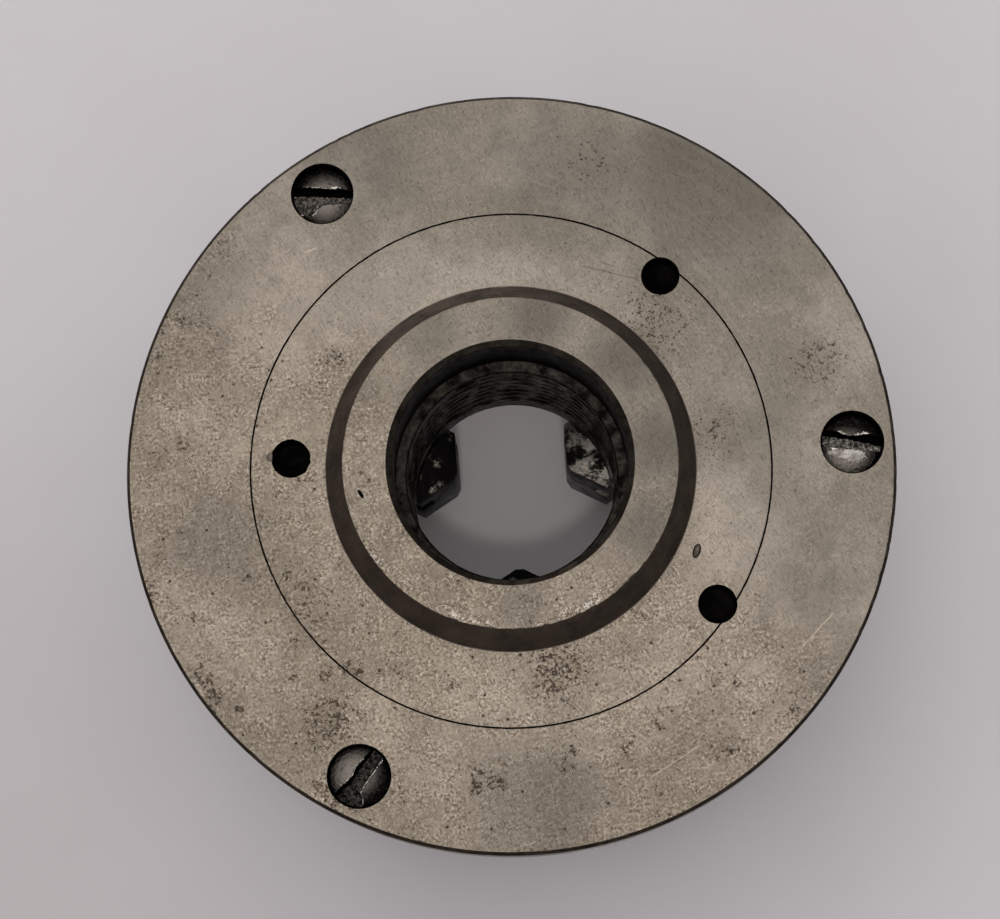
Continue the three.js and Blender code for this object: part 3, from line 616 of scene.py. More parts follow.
def soften(corners):
    """Outline points from (x, y, fillet, band) corners.

    A band is the number of the material on the edge that follows the corner.
    """
    points = []
    for i, (x, y, fillet, band) in enumerate(corners):
        here = Vector((x, y))
        if not fillet:
            points.append((x, y, band))
            continue
        before = Vector(corners[i - 1][:2]) - here
        after = Vector(corners[(i + 1) % len(corners)][:2]) - here
        half = before.angle(after) / 2
        reach = fillet / math.tan(half)
        spare_before = min(SUPPORT, (before.length - reach) / 3)
        spare_after = min(SUPPORT, (after.length - reach) / 3)
        before.normalize()
        after.normalize()
        centre = here + (before + after).normalized() * (fillet / math.sin(half))
        start = here + before * reach - centre
        end = here + after * reach - centre
        first = math.atan2(start.y, start.x)
        sweep = (math.atan2(end.y, end.x) - first + math.pi) % (2 * math.pi) - math.pi
        held = here + before * (reach + spare_before)
        points.append((held.x, held.y, corners[i - 1][3]))
        for k in range(FILLET_STEPS + 1):
            turn = first + sweep * k / FILLET_STEPS
            place = centre + Vector((math.cos(turn), math.sin(turn))) * fillet
            points.append((place.x, place.y, band))
        held = here + after * (reach + spare_after)
        points.append((held.x, held.y, band))
    return points


def lathe(name, outline, materials, segments, shape=None):
    """Solid of revolution about Z from (radius, depth, band) points. shape moves each point."""
    points, faces, numbers = [], [], []
    count = len(outline)
    for s in range(segments):
        turn = 2 * math.pi * s / segments
        for radius, depth, _ in outline:
            if shape:
                radius, depth = shape(radius, depth, turn)
            points.append((radius * math.cos(turn), radius * math.sin(turn), level(depth)))
    for s in range(segments):
        t = (s + 1) % segments
        for i in range(count):
            j = (i + 1) % count
            faces.append((s * count + i, s * count + j, t * count + j, t * count + i))
            numbers.append(outline[i][2])
    return add_piece(name, points, faces, materials, numbers)


def stack(name, hoops, materials, band, segments):
    """Closed round solid from (radius, height) hoops about Z, capped at both ends."""
    points, faces = [], []
    for radius, height in hoops:
        for s in range(segments):
            turn = 2 * math.pi * s / segments
            points.append((radius * math.cos(turn), radius * math.sin(turn), height))
    last = (len(hoops) - 1) * segments
    for start in range(0, last, segments):
        for s in range(segments):
            t = (s + 1) % segments
            faces.append((start + s, start + t, start + segments + t, start + segments + s))
    faces += [tuple(range(segments)), tuple(range(last, last + segments))]
    return add_piece(name, points, faces, materials, [band] * len(faces))


def rail(outline, start, stop, band):
    """Cutter that runs along X, from (y, depth) points."""
    count = len(outline)
    points = [(x, y, level(depth)) for x in (start, stop) for y, depth in outline]
    faces = [tuple(range(count)), tuple(range(count, 2 * count))]
    faces += [(i, (i + 1) % count, (i + 1) % count + count, i + count) for i in range(count)]
    return add_piece("rail", points, faces, [], [band] * len(faces))


def move(piece, matrix):
    """Moves the points of a piece's mesh, so that the piece itself keeps the frame's origin."""
    piece.data.transform(matrix)
    return piece


def turned(degrees):
    """A turn about the chuck's axis."""
    return Matrix.Rotation(math.radians(degrees), 4, "Z")


def shifted(x, y, z=0.0):
    return Matrix.Translation((x * MM, y * MM, z * MM))


LYING = Matrix.Rotation(math.radians(90), 4, "Y")  # from along Z to along X


def combine(piece, tools, operation):
    """Cuts tools from piece, or joins them to it, and removes the tools."""
    work = bmesh.new()
    for tool in tools:
        work.from_mesh(tool.data)
    joined = from_work("tools", work, piece.data.materials)
    modifier = piece.modifiers.new("tools", "BOOLEAN")
    modifier.operation = operation
    modifier.solver = "EXACT"
    modifier.use_self = operation == "UNION"
    modifier.object = joined
    apply_modifier(piece)
    for tool in [joined, *tools]:
        bpy.data.objects.remove(tool)
    return piece


def cut(piece, tools):
    return combine(piece, tools, "DIFFERENCE")


def join(piece, tools):
    return combine(piece, tools, "UNION")


def smooth(piece, degrees=35):
    """Smooth shading, but for edges sharper than an angle."""
    mesh = piece.data
    mesh.polygons.foreach_set("use_smooth", [True] * len(mesh.polygons))
    mesh.set_sharp_from_angle(angle=math.radians(degrees))
    return piece


def bevel(piece, width):
    modifier = piece.modifiers.new("edges", "BEVEL")
    modifier.width = width * MM
    modifier.segments = 2
    modifier.limit_method = "ANGLE"
    modifier.angle_limit = math.radians(40)
    modifier.use_clamp_overlap = True
    return apply_modifier(piece)


def stand_for(piece, body, node):
    """The finished piece rides on its body and is shown in place of its CAD node."""
    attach(piece, body)
    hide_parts(node)


def around(turn, rate, seed):
    """Noise that closes on itself round the axis, -1 to 1."""
    return noise.noise(Vector((rate * math.cos(turn), rate * math.sin(turn), seed)))


def hole(radius, top, bottom, distance, degrees, segments, chamfer=0.0, tip=0.0, ragged=0.0):
    """Upright round cutter. A chamfered mouth is at the rear face, and a drill point is a tip."""
    if chamfer:
        hoops = [(radius + chamfer + OVERCUT, level(-OVERCUT)), (radius, level(chamfer))]
    else:
        hoops = [(radius, level(top))]
    hoops.append((radius, level(bottom)))
    if tip:
        hoops.append((radius * 0.02, level(bottom + tip)))
    tool = stack("hole", hoops, [], 1, segments)
    if ragged:
        for vertex in tool.data.vertices:
            x, y, z = vertex.co / MM
            if z > level(chamfer) - 0.01:
                rough = max(0.0, around(math.atan2(y, x), 5, ragged))
                vertex.co.x *= 1 + 0.07 * rough
                vertex.co.y *= 1 + 0.07 * rough
    return move(tool, shifted(*polar(distance, degrees)))


def dent(distance, angle, height, sizes, degrees, band):
    """Small ball-shaped cutter, for a bruise in a face or an edge."""
    work = bmesh.new()
    bmesh.ops.create_uvsphere(work, u_segments=20, v_segments=12, radius=MM)
    for face in work.faces:
        face.material_index = band
    tool = from_work("dent", work)
    move(tool, Matrix.Diagonal((*sizes, 1.0)))
    move(tool, turned(degrees))
    return move(tool, shifted(*polar(distance, angle), height))


def bruises(seed, count, widest, deepest, start=0, stop=360):
    """Random bruises along a round edge: (direction, half width in radians, depth)."""
    draw = random.Random(seed)
    return [
        (
            math.radians(draw.uniform(start, stop)),
            draw.uniform(0.3, 1.0) * widest,
            draw.uniform(0.25, 1.0) * deepest,
        )
        for _ in range(count)
    ]


def bruise_depth(marks, turn):
    total = 0.0
    for direction, width, depth in marks:
        away = (turn - direction + math.pi) % (2 * math.pi) - math.pi
        if abs(away) < 3 * width:
            total = max(total, depth * math.exp(-((away / width) ** 2)))
    return total


# ---------------------------------------------------------------- rear cover ring
def drilled_hole_tools():
    return [
        hole(DRILLED_RADIUS, 0, DRILLED_DEPTH, distance, degrees, 64, 0.12, DRILLED_TIP, ragged)
        for distance, degrees, ragged in DRILLED_HOLES
    ]


def dowel_hole_tools():
    return [hole(DOWEL_HOLE, *DOWEL_HOLE_DEPTHS, DOWEL_CIRCLE, degrees, 24) for degrees in DOWEL_ANGLES]


def rubbed(radius, depth, edge_radius, edge_depth, reach, loss):
    """How much an edge has lost at a point near it, falling off over a reach."""
    off = ((radius - edge_radius) / reach) ** 2 + ((depth - edge_depth) / reach) ** 2
    return loss * math.exp(-off)


def rear_cover_ring():
    materials = [REAR_STEEL, HOLE_SHADE_STEEL, BODY_STEEL, RIM_REFLECTION_STEEL]  # in the order of the bands
    corners = [
        (JOINT_OUTSIDE, 0, 0.07, 0),
        (COVER_RADIUS - RIM_BAND, 0, 0, 0),
        (COVER_RADIUS - RIM_CHAMFER, 0, 0.12, 3),
        (COVER_RADIUS, RIM_CHAMFER, 0.12, 3),
        (COVER_RADIUS, RIM_BAND, 0, 2),
        (COVER_RADIUS, COVER_DEPTH - FRONT_CHAMFER, 0.3, 2),
        (COVER_RADIUS - FRONT_CHAMFER, COVER_DEPTH, 0.2, 1),
        (CHAMBER - GAP, COVER_DEPTH, 0, 1),
        (CHAMBER - GAP, SPIGOT_DEPTH, 0.2, 1),
        (SHOULDER + GAP, SPIGOT_DEPTH, 0, 1),
        (SHOULDER + GAP, SHOULDER_DEPTH, 0, 1),
        (JOINT_OUTSIDE, SHOULDER_DEPTH, 0, 1),
    ]
    marks = bruises(5, 34, 0.012, 0.28)

    def worn(radius, depth, turn):
        if depth < 1.3 and radius > COVER_RADIUS - 1.3:
            loss = 0.05 * max(0.0, around(turn, 25, 3.0)) + bruise_depth(marks, turn)
            lost = rubbed(radius, depth, COVER_RADIUS - 0.25, 0.25, 0.4, loss)
            return radius - 0.7 * lost, depth + 0.7 * lost
        if depth < 0.3 and radius < JOINT_OUTSIDE + 0.2:
            return radius + 0.03 + 0.05 * around(turn, 40, 8.0), depth
        return radius, depth

    ring = lathe("rear_cover", soften(corners), materials, 720, worn)
    tools = drilled_hole_tools() + dowel_hole_tools()
    tools += [hole(COUNTERBORE, 0, SCREW_SEAT_DEPTH, SCREW_CIRCLE, turn, 96, 0.14) for turn in SCREW_ANGLES]
    cut(ring, tools)
    cut(ring, [hole(SCREW_CLEARANCE, 2, COVER_DEPTH + 2, SCREW_CIRCLE, turn, 64) for turn in SCREW_ANGLES])
    stand_for(smooth(ring), "body", "rear_cover_ring")


# ---------------------------------------------------------------- spindle flange
THREAD_FLANK = 0.99  # length of a flank along the bore
THREAD_FOOT = 1.19  # where a flank ends, from the middle of the groove
BORE_STEPS = 150
BORE_END = THREAD_END_DEPTH + 0.6


def thread_radius(depth, turn):
    """Radius of the threaded wall at a depth and a direction."""
    clockwise = (math.radians(THREAD_START_ANGLE) - turn) % (2 * math.pi)
    rise = (depth - THREAD_START_DEPTH) / THREAD_PITCH - clockwise / (2 * math.pi)
    winding = round(rise)
    wound = winding + clockwise / (2 * math.pi)
    off = abs(rise - winding) * THREAD_PITCH
    if winding < 0 or wound > THREAD_TURNS:
        return THREAD_MINOR
    cut_in = min(1.0, wound / 0.05) * min(1.0, (THREAD_TURNS - wound) / 0.08)
    flank = max(0.0, min(1.0, (THREAD_FOOT - off) / THREAD_FLANK))
    return THREAD_MINOR + (THREAD_MAJOR - THREAD_MINOR) * flank * cut_in


def bore_radius(depth, turn):
    """Radius of the bore from the register to the plain bore."""
    wall = THREAD_MINOR
    if depth < REGISTER_END + 1:
        wall = REGISTER + (THREAD_MINOR - REGISTER) * (depth - REGISTER_END)
    elif depth > THREAD_END_DEPTH - 1:
        wall += (PLAIN_BORE - THREAD_MINOR) * min(1.0, depth - THREAD_END_DEPTH + 1)
    worn = 0.10 * max(0.0, noise.noise(Vector((9 * math.cos(turn), 9 * math.sin(turn), depth / 1.5))))
    return max(wall + worn, thread_radius(depth, turn) + worn * 0.5)


def spindle_flange():
    materials = [  # in the order of the bands
        REAR_STEEL, HOLE_SHADE_STEEL, WALL_STEEL, MOUTH_STEEL, BORE_SHADE_STEEL, THREAD_STEEL, BOSS_STEEL,
    ]
    corners = [
        (MOUTH, -BOSS_HEIGHT, 0.1, 3),
        (REGISTER, MOUTH - REGISTER - BOSS_HEIGHT, 0.1, 4),
        (REGISTER, REGISTER_END, 0, 5),
    ]
    for i in range(1, BORE_STEPS):
        depth = REGISTER_END + (BORE_END - REGISTER_END) * i / BORE_STEPS
        corners.append((THREAD_MINOR, depth, 0, 5))
    corners += [
        (PLAIN_BORE, BORE_END, 0, 4),
        (PLAIN_BORE, SLEEVE_DEPTH, 0.2, 4),
        (SLEEVE, SLEEVE_DEPTH, 0.2, 1),
        (SLEEVE, COVER_DEPTH, 0, 1),
        (SHOULDER, COVER_DEPTH, 0.2, 1),
        (SHOULDER, SHOULDER_DEPTH + GAP, 0.2, 1),
        (JOINT_INSIDE, SHOULDER_DEPTH + GAP, 0, 1),
        (JOINT_INSIDE, 0, 0.07, 0),
        (BOSS_BASE, 0, 0.25, 2),
        (BOSS_TOP + 0.7, -BOSS_HEIGHT + 1.28, 0, 2),
        (BOSS_TOP, -BOSS_HEIGHT, 0.15, 6),
        (BOSS_TOP - 0.9, -BOSS_HEIGHT, 0, 6),
        (BOSS_TOP - 1.6, -BOSS_HEIGHT, 0, 6),
    ]
    marks = bruises(12, 14, 0.02, 0.16, 0, 360) + bruises(4, 26, 0.022, 0.34, -118, -42)

    def worn(radius, depth, turn):
        if REGISTER_END < depth < BORE_END and radius < REGISTER + 0.1:
            return bore_radius(depth, turn), depth
        if depth < -BOSS_HEIGHT + 1.2 and radius > BOSS_TOP - 0.8:
            loss = 0.05 * max(0.0, around(turn, 26, 6.0)) + bruise_depth(marks, turn)
            lost = rubbed(radius, depth, BOSS_TOP, -BOSS_HEIGHT, 0.5, loss)
            return radius - 0.8 * lost, depth + 0.6 * lost
        if depth < 0.3 and abs(radius - JOINT_INSIDE) < 0.2:
            return radius - 0.03 + 0.05 * around(turn, 40, 14.0), depth
        return radius, depth

    flange = lathe("spindle_nose_flange", soften(corners), materials, 360, worn)
    chip = dent(38.9, 173.2, REAR_FACE + 0.06, (0.95, 0.8, 0.22), 10, 2)
    punch_mark = dent(33.0, -28.8, REAR_FACE + 0.05, (0.65, 1.25, 0.5), -20, 2)
    # The nick's faces take the near-black painted shade of the holes.
    nick = dent(24.5, -171.8, REAR_FACE + BOSS_HEIGHT + 0.05, (0.30, 0.85, 0.3), 28, 1)
    cut(flange, [chip])
    cut(flange, [*drilled_hole_tools(), *dowel_hole_tools(), punch_mark, nick])
    stand_for(smooth(flange), "body", "spindle_flange")


# ---------------------------------------------------------------- cover screws
# Each worn slot, as lines of (along, across) places from the middle of the head: the upper edge, the
# foot of the trench, whose floor is painted black as the shadow of the upper edge, and the chewed lower
# edge. Burrs are bright lips: (edge, from, to, width). Patches are raised bright places: (along, across,
# half length, half width). light is the (along, across) middle of the head's painted highlight.
SLOTS = (
    {
        "upper": (
            (-4.8, 1.7), (-2.7, 1.75), (-1.6, 1.35), (-0.3, 1.1), (1.0, 1.35), (2.8, 1.8), (4.8, 1.2),
        ),
        "foot": ((-4.8, 0.9), (-1.5, 0.8), (1.5, 0.45), (4.8, -0.1)),
        "lower": ((-4.8, -0.8), (-2.0, -1.0), (1.0, -0.95), (4.8, -1.1)),
        "burrs": (("upper", -2.7, -0.7, 0.42), ("upper", 0.1, 3.0, 0.55), ("lower", -3.5, -1.9, 0.7)),
        "patches": ((0.2, -2.0, 2.0, 1.0), (-2.7, -1.8, 0.9, 0.5)),
        "light": (-0.6, -1.6),
    },
    {
        "upper": ((-4.8, 1.2), (-3.5, 1.45), (-1.0, 1.2), (1.5, 1.0), (2.6, 1.2), (4.8, 0.8)),
        "foot": ((-4.8, 0.0), (-1.0, 0.0), (1.5, -0.2), (4.8, -0.3)),
        "lower": (
            (-4.8, -2.8), (-3.7, -3.1), (-2.6, -3.5), (-1.7, -3.3), (-0.7, -2.3), (0.2, -1.6), (4.8, -1.3),
        ),
        "burrs": (
            ("upper", -3.7, 1.4, 0.26), ("upper", 0.9, 3.2, 0.62),
            ("lower", -2.0, -0.5, 0.55), ("lower", -3.9, -3.0, 0.5),
        ),
        "patches": (),
        "light": (0.6, -0.6),
    },
    {
        "upper": (
            (-4.8, 1.5), (-3.3, 1.4), (-1.5, 1.0), (-0.3, 0.95),
            (0.3, 1.2), (1.0, 1.35), (3.3, 1.2), (4.8, 1.2),
        ),
        "foot": ((-4.8, 1.0), (-1.5, 0.55), (0.3, 0.75), (3.3, 0.8), (4.8, 0.8)),
        "lower": ((-4.8, -3.5), (-3.5, -3.3), (-2.7, -2.8), (-2.0, -1.7), (-0.7, -1.4), (4.8, -1.2)),
        "burrs": (("upper", -3.4, 3.4, 0.26), ("lower", -3.4, 4.6, 0.30)),
        "patches": (),
        "light": (0.0, 1.0),
    },
)
TRENCH_DEPTH = 2.0
LEDGE_DEPTH = 0.75
DOME = 0.55  # how far the rim of the head lies below its middle
HEAD_ROWS = 150
HEAD_COLUMNS = 130
HEAD_EDGE = SCREW_HEAD - 0.002  # the first and last rows, just short of the rim


def on_line(places, u):
    """How far across a line of places lies at a distance along the slot."""
    for (u0, w0), (u1, w1) in zip(places, places[1:]):
        if u <= u1:
            return w0 + (w1 - w0) * max(0.0, u - u0) / (u1 - u0)
    return places[-1][1]


def screw_surface(number, u, w):
    """Height above the flat head, and material number, at a place along and across the slot."""
    slot = SLOTS[number]
    far = math.hypot(u, w)
    rough = noise.noise(Vector((u * 2.4, w * 2.4, number * 3.1)))
    fine = noise.noise(Vector((u * 6.0, w * 6.0, number * 5.7)))
    ragged = 0.10 * noise.noise(Vector((u * 2.1, w, number * 9.0))) + 0.05 * fine
    upper = on_line(slot["upper"], u) + ragged
    foot = on_line(slot["foot"], u) + ragged
    lower = on_line(slot["lower"], u) + ragged
    height = -DOME * (far / SCREW_HEAD) ** 2.6 + 0.05 * rough
    band = 0
    for edge, start, stop, width in slot["burrs"]:
        beyond = w - upper if edge == "upper" else lower - w
        ends = min(1.0, max(0.0, u - start) / 0.4, max(0.0, stop - u) / 0.4)
        lip = width * ends * (0.75 + 0.5 * rough)
        if 0 <= beyond < lip:
            height += 0.13 * math.sin(math.pi * (0.15 + 0.85 * beyond / lip))
            band = 1
    for patch_u, patch_w, half_u, half_w in slot["patches"]:
        near = math.hypot((u - patch_u) / half_u, (w - patch_w) / half_w) + 0.45 * rough + 0.25 * fine
        if near < 1 and w < lower:
            height += 0.12 * (1 - near)
            band = 4
    # The trench below the upper edge takes band 2, the black of the painted shadow.
    if foot < w < upper:
        return -TRENCH_DEPTH + 0.15 * rough, 2
    if lower < w <= foot:
        share = (w - lower) / max(0.1, foot - lower)
        return -LEDGE_DEPTH * (0.45 + 0.55 * share) + 0.20 * rough + 0.16 * fine, 3
    return height, band


def screw_land(number):
    """Dull head steel, painted near black round the rim as shade and lighter towards a painted highlight
    near the middle.
    """
    s = Shader(f"screw_steel_{number + 1}")
    turn = math.radians(SCREW_ANGLES[number] + SCREW_TURNS[number])
    x, y = polar(SCREW_CIRCLE, SCREW_ANGLES[number])
    along, across = SLOTS[number]["light"]
    x += along * math.cos(turn) - across * math.sin(turn)
    y += along * math.sin(turn) + across * math.cos(turn)
    grain = s.noise(0.5, 4, 0.7, shift=number + 2.5)
    fleck = s.ramp(s.noise(0.8, 4, 0.7, shift=number + 8.5), 0.36, 0.44, 1.0, 0.0)
    # Painted highlight and shade: lighter steel round the slot's light place, near black at the rim.
    clear = s.spot(x, y, SCREW_HEAD + 0.2, 0.85)
    clear = s.times(s.math("SUBTRACT", grain, 0.5), 0.5, clear, clamp=True)
    base = s.mix(clear, "#0c0a09", "#6f675d")
    base = s.mix(s.times(fleck, 0.6), base, "#14100d")
    return s.finish(base, s.times(grain, 0.2, 0.32), s.times(grain, 0.03))


def spaced(reach, share):
    """Place from -reach to reach for a share from -1 to 1, a little closer together at the ends."""
    return reach * (0.35 * math.sin(math.pi / 2 * share) + 0.65 * share)


def screw_head(number):
    """Grid of the worn top of a head: its points, faces, face bands and the corners round its rim."""
    points, faces, bands, corner_bands = [], [], [], []
    width = HEAD_COLUMNS + 1
    for j in range(HEAD_ROWS):
        w = spaced(HEAD_EDGE, 2 * j / (HEAD_ROWS - 1) - 1)
        reach = math.sqrt(SCREW_HEAD**2 - w**2)
        for i in range(width):
            u = spaced(reach, 2 * i / HEAD_COLUMNS - 1)
            height, band = screw_surface(number, u, w)
            points.append((u, w, level(SCREW_RECESS) + height))
            corner_bands.append(band)
    for j in range(HEAD_ROWS - 1):
        for a in range(j * width, j * width + HEAD_COLUMNS):
            faces.append((a, a + 1, a + width + 1, a + width))
            bands.append(corner_bands[a])
    last = (HEAD_ROWS - 1) * width
    rim = list(range(HEAD_COLUMNS)) + list(range(HEAD_COLUMNS, last + width, width))
    rim += list(range(last + HEAD_COLUMNS - 1, last - 1, -1)) + list(range(last - width, 0, -width))
    return points, faces, bands, rim


def screw_levels():
    """Radius and height of the rings below the rim: the head's side and seat, and the thread."""
    seat = level(SCREW_RECESS + SCREW_HEAD_HEIGHT)
    end = level(SCREW_END_DEPTH)
    levels = [(SCREW_HEAD, seat + 0.1), (SCREW_HEAD - 0.15, seat), (SCREW_THREAD, seat)]
    height = seat - SCREW_PITCH
    while height > end + SCREW_PITCH:
        levels += [(SCREW_THREAD, height), (SCREW_THREAD_ROOT, height - SCREW_PITCH / 2)]
        height -= SCREW_PITCH
    return [*levels, (SCREW_THREAD_ROOT - 0.1, end)]


def cover_screw(number):
    points, faces, bands, rim = screw_head(number)
    previous = rim
    for radius, height in screw_levels():
        ring = range(len(points), len(points) + len(rim))
        for corner in rim:
            x, y, _ = points[corner]
            scale = radius / math.hypot(x, y)
            points.append((x * scale, y * scale, height))
        for i in range(len(rim)):
            k = (i + 1) % len(rim)
            faces.append((previous[i], ring[i], ring[k], previous[k]))
        previous = ring
    faces.append(tuple(previous))
    bands += [0] * (len(faces) - len(bands))
    materials = [screw_land(number), SCREW_BRIGHT, SCREW_SLOT_SHADOW, SCREW_CHEWED[number], SCREW_SCUFF]
    screw = add_piece(f"cover_screw_head_{number + 1}", points, faces, materials, bands)
    move(screw, turned(SCREW_ANGLES[number] + SCREW_TURNS[number]))
    move(screw, shifted(*polar(SCREW_CIRCLE, SCREW_ANGLES[number])))
    stand_for(smooth(screw, 60), "body", f"cover_screw_{number + 1}")


# ---------------------------------------------------------------- chuck body
def jaw_slot_tool(degrees):
    half = JAW_HALF + GAP
    neck = half - RIB_REACH
    rib_top, rib_bottom = RIB_DEPTHS
    right = [
        (half, SLOT_TOP_DEPTH),
        (half, rib_top),
        (neck, rib_top),
        (neck, rib_bottom),
        (half, rib_bottom),
        (half, FRONT_DEPTH - 0.35),
        (half + 2.35, FRONT_DEPTH + 2),
    ]
    outline = right + [(-y, depth) for y, depth in reversed(right)]
    return move(rail(outline, FRONT_BORE / 2, BODY_RADIUS + 2, 1), turned(degrees))


def along_x(name, hoops, materials, band, segments, twist=0):
    """Round solid along X from (radius, distance) hoops, at the depth of the pinions."""
    piece = move(stack(name, hoops, materials, band, segments), turned(twist))
    return move(move(piece, LYING), shifted(0, 0, level(PINION_DEPTH)))


def pinion_bore_tool(degrees):
    hoops = [
        (PINION_BORE, CHAMBER - 2),
        (PINION_BORE, BODY_RADIUS - 1.4),
        (PINION_BORE + 0.75, BODY_RADIUS - 0.4),
        (PINION_BORE + 3.0, BODY_RADIUS + 2.6),
    ]
    return move(along_x("bore", hoops, [], 1, 64), turned(degrees))


def chuck_body():
    corners = [
        (FRONT_BORE, FRONT_DEPTH, 0.4, 1),
        (FRONT_BORE, CHAMBER_DEPTH, 0, 1),
        (CHAMBER, CHAMBER_DEPTH, 0, 1),
        (CHAMBER, BODY_TOP_DEPTH, 0.2, 1),
        (BODY_RADIUS, BODY_TOP_DEPTH, 0.2, 0),
        (BODY_RADIUS, FRONT_DEPTH - FRONT_CHAMFER, 0.3, 0),
        (BODY_RADIUS - FRONT_CHAMFER, FRONT_DEPTH, 0.3, 0),
    ]
    body = lathe("chuck_shell", soften(corners), [BODY_STEEL, HOLE_SHADE_STEEL], 360)
    cut(body, [*map(jaw_slot_tool, JAW_ANGLES), *map(pinion_bore_tool, PINION_ANGLES)])
    reach = math.hypot(PIN_DISTANCE, PIN_OFFSET)
    beside = math.degrees(math.atan2(PIN_OFFSET, PIN_DISTANCE))
    cut(body, [hole(PIN_HOLE, 0, PIN_HOLE_DEPTH, reach, turn + beside, 24) for turn in PINION_ANGLES])
    cut(body, [hole(SCREW_CLEARANCE, 0, SCREW_HOLE_DEPTH, SCREW_CIRCLE, turn, 32) for turn in SCREW_ANGLES])
    stand_for(smooth(body), "body", "chuck_body")


# ---------------------------------------------------------------- jaws
def cad_copy(node, name, material):
    """Copy of a CAD node's mesh with its flat faces made whole."""
    work = bmesh.new()
    work.from_mesh(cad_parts[node].data)
    bmesh.ops.remove_doubles(work, verts=work.verts, dist=1e-6)
    bmesh.ops.dissolve_limit(work, angle_limit=math.radians(1.5), verts=work.verts, edges=work.edges)
    return from_work(name, work, [material])


def jaw(number):
    node = f"jaw_{number + 1}"
    piece = cad_copy(node, f"stepped_{node}", jaw_steel(number, JAW_GREASE_AND_SHADE[number]))
    stand_for(smooth(bevel(piece, 0.22), 40), node, node)


# ---------------------------------------------------------------- scroll, pinions and small pieces
def scroll():
    piece = bevel(cad_copy("scroll_plate", "scroll_wheel", SCROLL_STEEL), 0.15)
    stand_for(smooth(piece, 40), "scroll", "scroll_plate")


def pinion_barrel(name):
    """Fine barrel with rounded edges and the retaining pin's groove, from its toothed end outwards."""
    start, end = PINION_GROOVE_ENDS
    hoops = [
        (4.8, TEETH_END - 0.6),
        (5.0, TEETH_END - 0.4),
        (PINION_BARREL - 0.1, SOCKET_BOTTOM - 0.05),
        (PINION_BARREL, SOCKET_BOTTOM + 0.1),
        (PINION_BARREL, start - 0.3),
        (PINION_BARREL - 0.2, start - 0.05),
        (PINION_GROOVE + 0.1, start + 0.05),
        (PINION_GROOVE, start + 0.15),
        (PINION_GROOVE, end - 0.15),
        (PINION_GROOVE + 0.1, end - 0.05),
        (PINION_BARREL - 0.2, end + 0.05),
        (PINION_BARREL, end + 0.3),
        (PINION_BARREL, PINION_END - 0.5),
        (PINION_BARREL - 0.1, PINION_END - 0.2),
        (PINION_BARREL - 0.4, PINION_END),
        (PINION_BARREL - 1.4, PINION_END),
    ]
    return along_x(name, hoops, [PINION_STEEL, HOLE_SHADE_STEEL], 0, 96)


def pinion(number):
    node = f"pinion_{number + 1}"
    degrees = PINION_ANGLES[number]
    teeth = move(cad_copy(node, "teeth", PINION_STEEL), turned(-degrees))
    reach = 12.0
    above, below = PINION_DEPTH - reach, PINION_DEPTH + reach
    square = [(-reach, above), (reach, above), (reach, below), (-reach, below)]
    cut(teeth, [rail(square, TEETH_END, BODY_RADIUS + reach, 0)])
    piece = join(pinion_barrel(f"key_pinion_{number + 1}"), [teeth])
    corner = SOCKET_HALF * math.sqrt(2)
    mouth = [(corner, SOCKET_BOTTOM), (corner, PINION_END - 0.5), (corner + 1.6, PINION_END + 1.1)]
    cut(piece, [along_x("socket", mouth, [], 1, 4, 45)])
    bevel(move(piece, turned(degrees)), 0.08)
    stand_for(smooth(piece, 40), node, node)


def round_pin(name, node, radius, depths):
    """Upright hardened pin with a small chamfer at each end, where its CAD node stands."""
    low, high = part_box(node)
    top, bottom = (level(depth) for depth in depths)
    ease = 0.25
    inner = [(radius - 2 * ease, 0), (radius - ease, 0), (radius - 0.3 * ease, 0.3 * ease), (radius, ease)]
    hoops = [(r, bottom + rise) for r, rise in inner]
    hoops += [(r, top - rise) for r, rise in reversed(inner)]
    x, y = (low.x + high.x) / 2 / MM, (low.y + high.y) / 2 / MM
    piece = move(stack(name, hoops, [PIN_STEEL], 0, 40), shifted(x, y))
    stand_for(smooth(piece, 50), "body", node)


def thrust_washer():
    (inner, outer), (top, bottom) = WASHER_RADII, WASHER_DEPTHS
    corners = [(inner, top), (outer, top), (outer, bottom), (inner, bottom)]
    outline = soften([(radius, depth, 0.12, 0) for radius, depth in corners])
    piece = lathe("bronze_thrust_washer", outline, [WASHER_BRASS], 180)
    stand_for(smooth(piece), "body", "scroll_thrust_washer")


rear_cover_ring()
spindle_flange()
chuck_body()
scroll()
thrust_washer()
for index in range(3):
    cover_screw(index)
    jaw(index)
    pinion(index)
    pin, dowel = f"pinion_pin_{index + 1}", f"flange_dowel_{index + 1}"
    round_pin(f"pinion_retaining_pin_{index + 1}", pin, PIN_RADIUS, PIN_DEPTHS)
    round_pin(f"flange_locating_dowel_{index + 1}", dowel, DOWEL_RADIUS, DOWEL_DEPTHS)


# ---------------------------------------------------------------- floor, light and camera
def floor():
    s = Shader("pale_table")
    soft = s.ramp(s.noise(60, 3), 0.3, 0.7)
    speck = s.noise(1.2, 3, 0.6, shift=3)
    x, y, _ = s.parts(s.place)
    # Painted shade: the table is darker towards negative x and y, up to 190 mm out.
    painted_floor_shade = s.ramp(s.times(x, -0.8, s.times(y, -0.6)), 0, 190, 0.0, 0.8)
    base = s.mix(soft, "#cac3c0", "#cec8c5")
    base = s.mix(painted_floor_shade, base, "#aca29e")
    rough = s.times(speck, 0.1, 0.5)
    material = s.finish(base, rough, s.times(speck, 0.01), 0.0)
    work = bmesh.new()
    bmesh.ops.create_grid(work, x_segments=8, y_segments=8, size=1.5)
    from_work("table_top", work, [material])


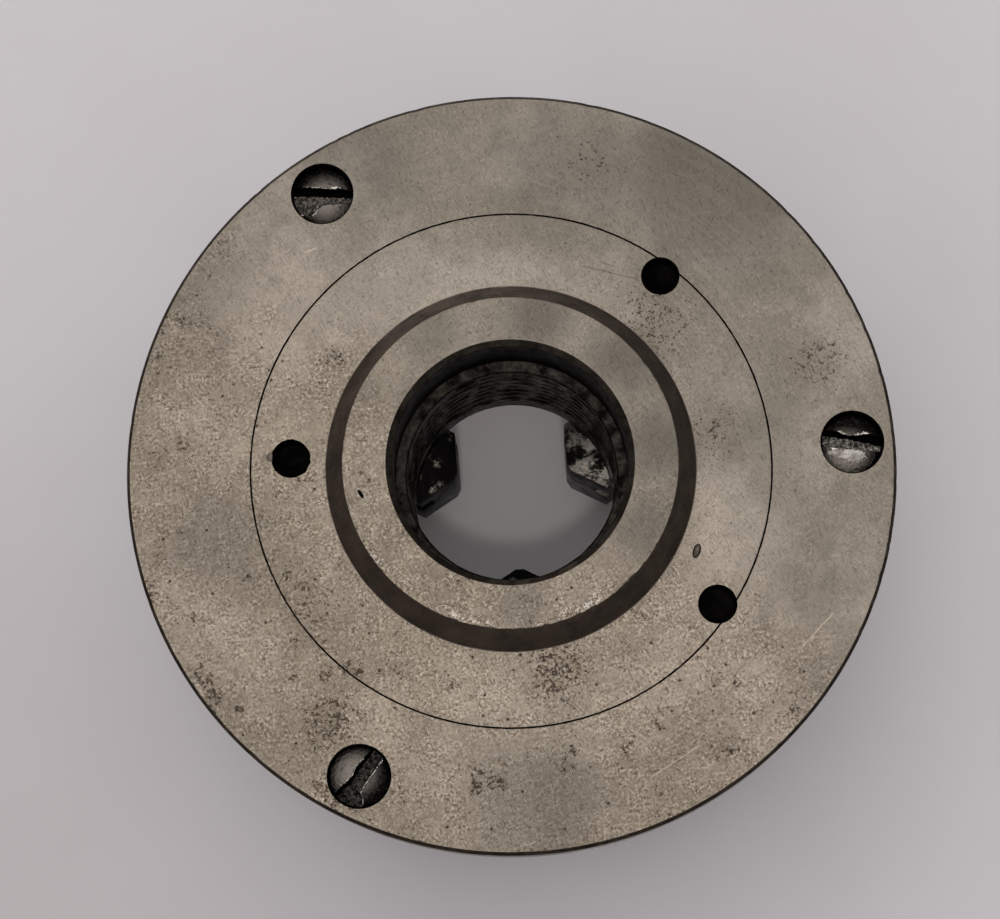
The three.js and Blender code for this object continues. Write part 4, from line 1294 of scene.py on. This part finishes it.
def lamp(name, kind, power, place, aim):
    """A light at a place, turned towards another."""
    light = bpy.data.lights.new(name, kind)
    light.energy = power
    holder = link(name, light)
    holder.location = place
    holder.rotation_euler = (Vector(aim) - Vector(place)).to_track_quat("-Z", "Y").to_euler()
    return light


# Sky dome: the direction it is brightest in, how much brighter it is there than at the horizon, how
# bright the horizon is, and how fast it falls off.
SKY_TOP = Vector((-0.12, 0.10, 1.0)).normalized()
SKY_BRIGHT = 1.55
SKY_DIM = 0.42
SKY_SHARPNESS = 4.0
SKY_TINT = (0.93, 0.94, 1.0, 1.0)


def sky():
    world = bpy.data.worlds.new("studio")
    world.use_nodes = True
    tree = world.node_tree
    direction = tree.nodes.new("ShaderNodeTexCoord").outputs["Generated"]
    dot = tree.nodes.new("ShaderNodeVectorMath")
    dot.operation = "DOT_PRODUCT"
    tree.links.new(direction, dot.inputs[0])
    dot.inputs[1].default_value = SKY_TOP
    value = dot.outputs["Value"]
    steps = (("MAXIMUM", 0.0), ("POWER", SKY_SHARPNESS), ("MULTIPLY", SKY_BRIGHT), ("ADD", SKY_DIM))
    for operation, second in steps:
        node = tree.nodes.new("ShaderNodeMath")
        node.operation = operation
        tree.links.new(value, node.inputs[0])
        node.inputs[1].default_value = second
        value = node.outputs[0]
    back = tree.nodes["Background"]
    back.inputs["Color"].default_value = SKY_TINT
    tree.links.new(value, back.inputs["Strength"])
    bpy.context.scene.world = world


def studio():
    """A soft sky, a narrow beam down the bore and a window behind the chuck. Places are in metres."""
    sky()
    beam = lamp("bore_light", "SPOT", 9.0, (0.0, -0.27, 1.2), (0, 0.014, 0))
    beam.spot_size = math.radians(4.2)
    beam.spot_blend = 0.9
    beam.shadow_soft_size = 0.032
    window = lamp("window", "AREA", 2.5, (-0.25, 1.10, 0.36), (0, 0, 0.02))
    window.shape = "RECTANGLE"
    window.size, window.size_y = 0.9, 0.5
    window.color = (1.0, 0.99, 0.98)


# Camera: its turns from straight above, in radians, and where it sees the middle of the rear face.
LENS = 108.0
SENSOR = 36.0
ROLL = math.radians(4.1)
PITCH = -0.1749
YAW = -0.0221
CHUCK_IN_CAMERA = (1.744, -1.268, -486.6)


def camera():
    turn = Matrix.Rotation(PITCH, 3, "X") @ Matrix.Rotation(YAW, 3, "Y") @ Matrix.Rotation(ROLL, 3, "Z")
    back = turn.transposed()
    place = Vector((0, 0, REAR_FACE)) - back @ Vector(CHUCK_IN_CAMERA)
    lens = bpy.data.cameras.new("view")
    lens.lens = LENS
    lens.sensor_width = SENSOR
    lens.sensor_fit = "HORIZONTAL"
    lens.clip_start, lens.clip_end = 0.01, 20.0
    view = link("view", lens)
    view.matrix_world = Matrix.Translation(place * MM) @ back.to_4x4()
    bpy.context.scene.camera = view


floor()
studio()
camera()
bpy.context.scene.view_settings.view_transform = "Standard"
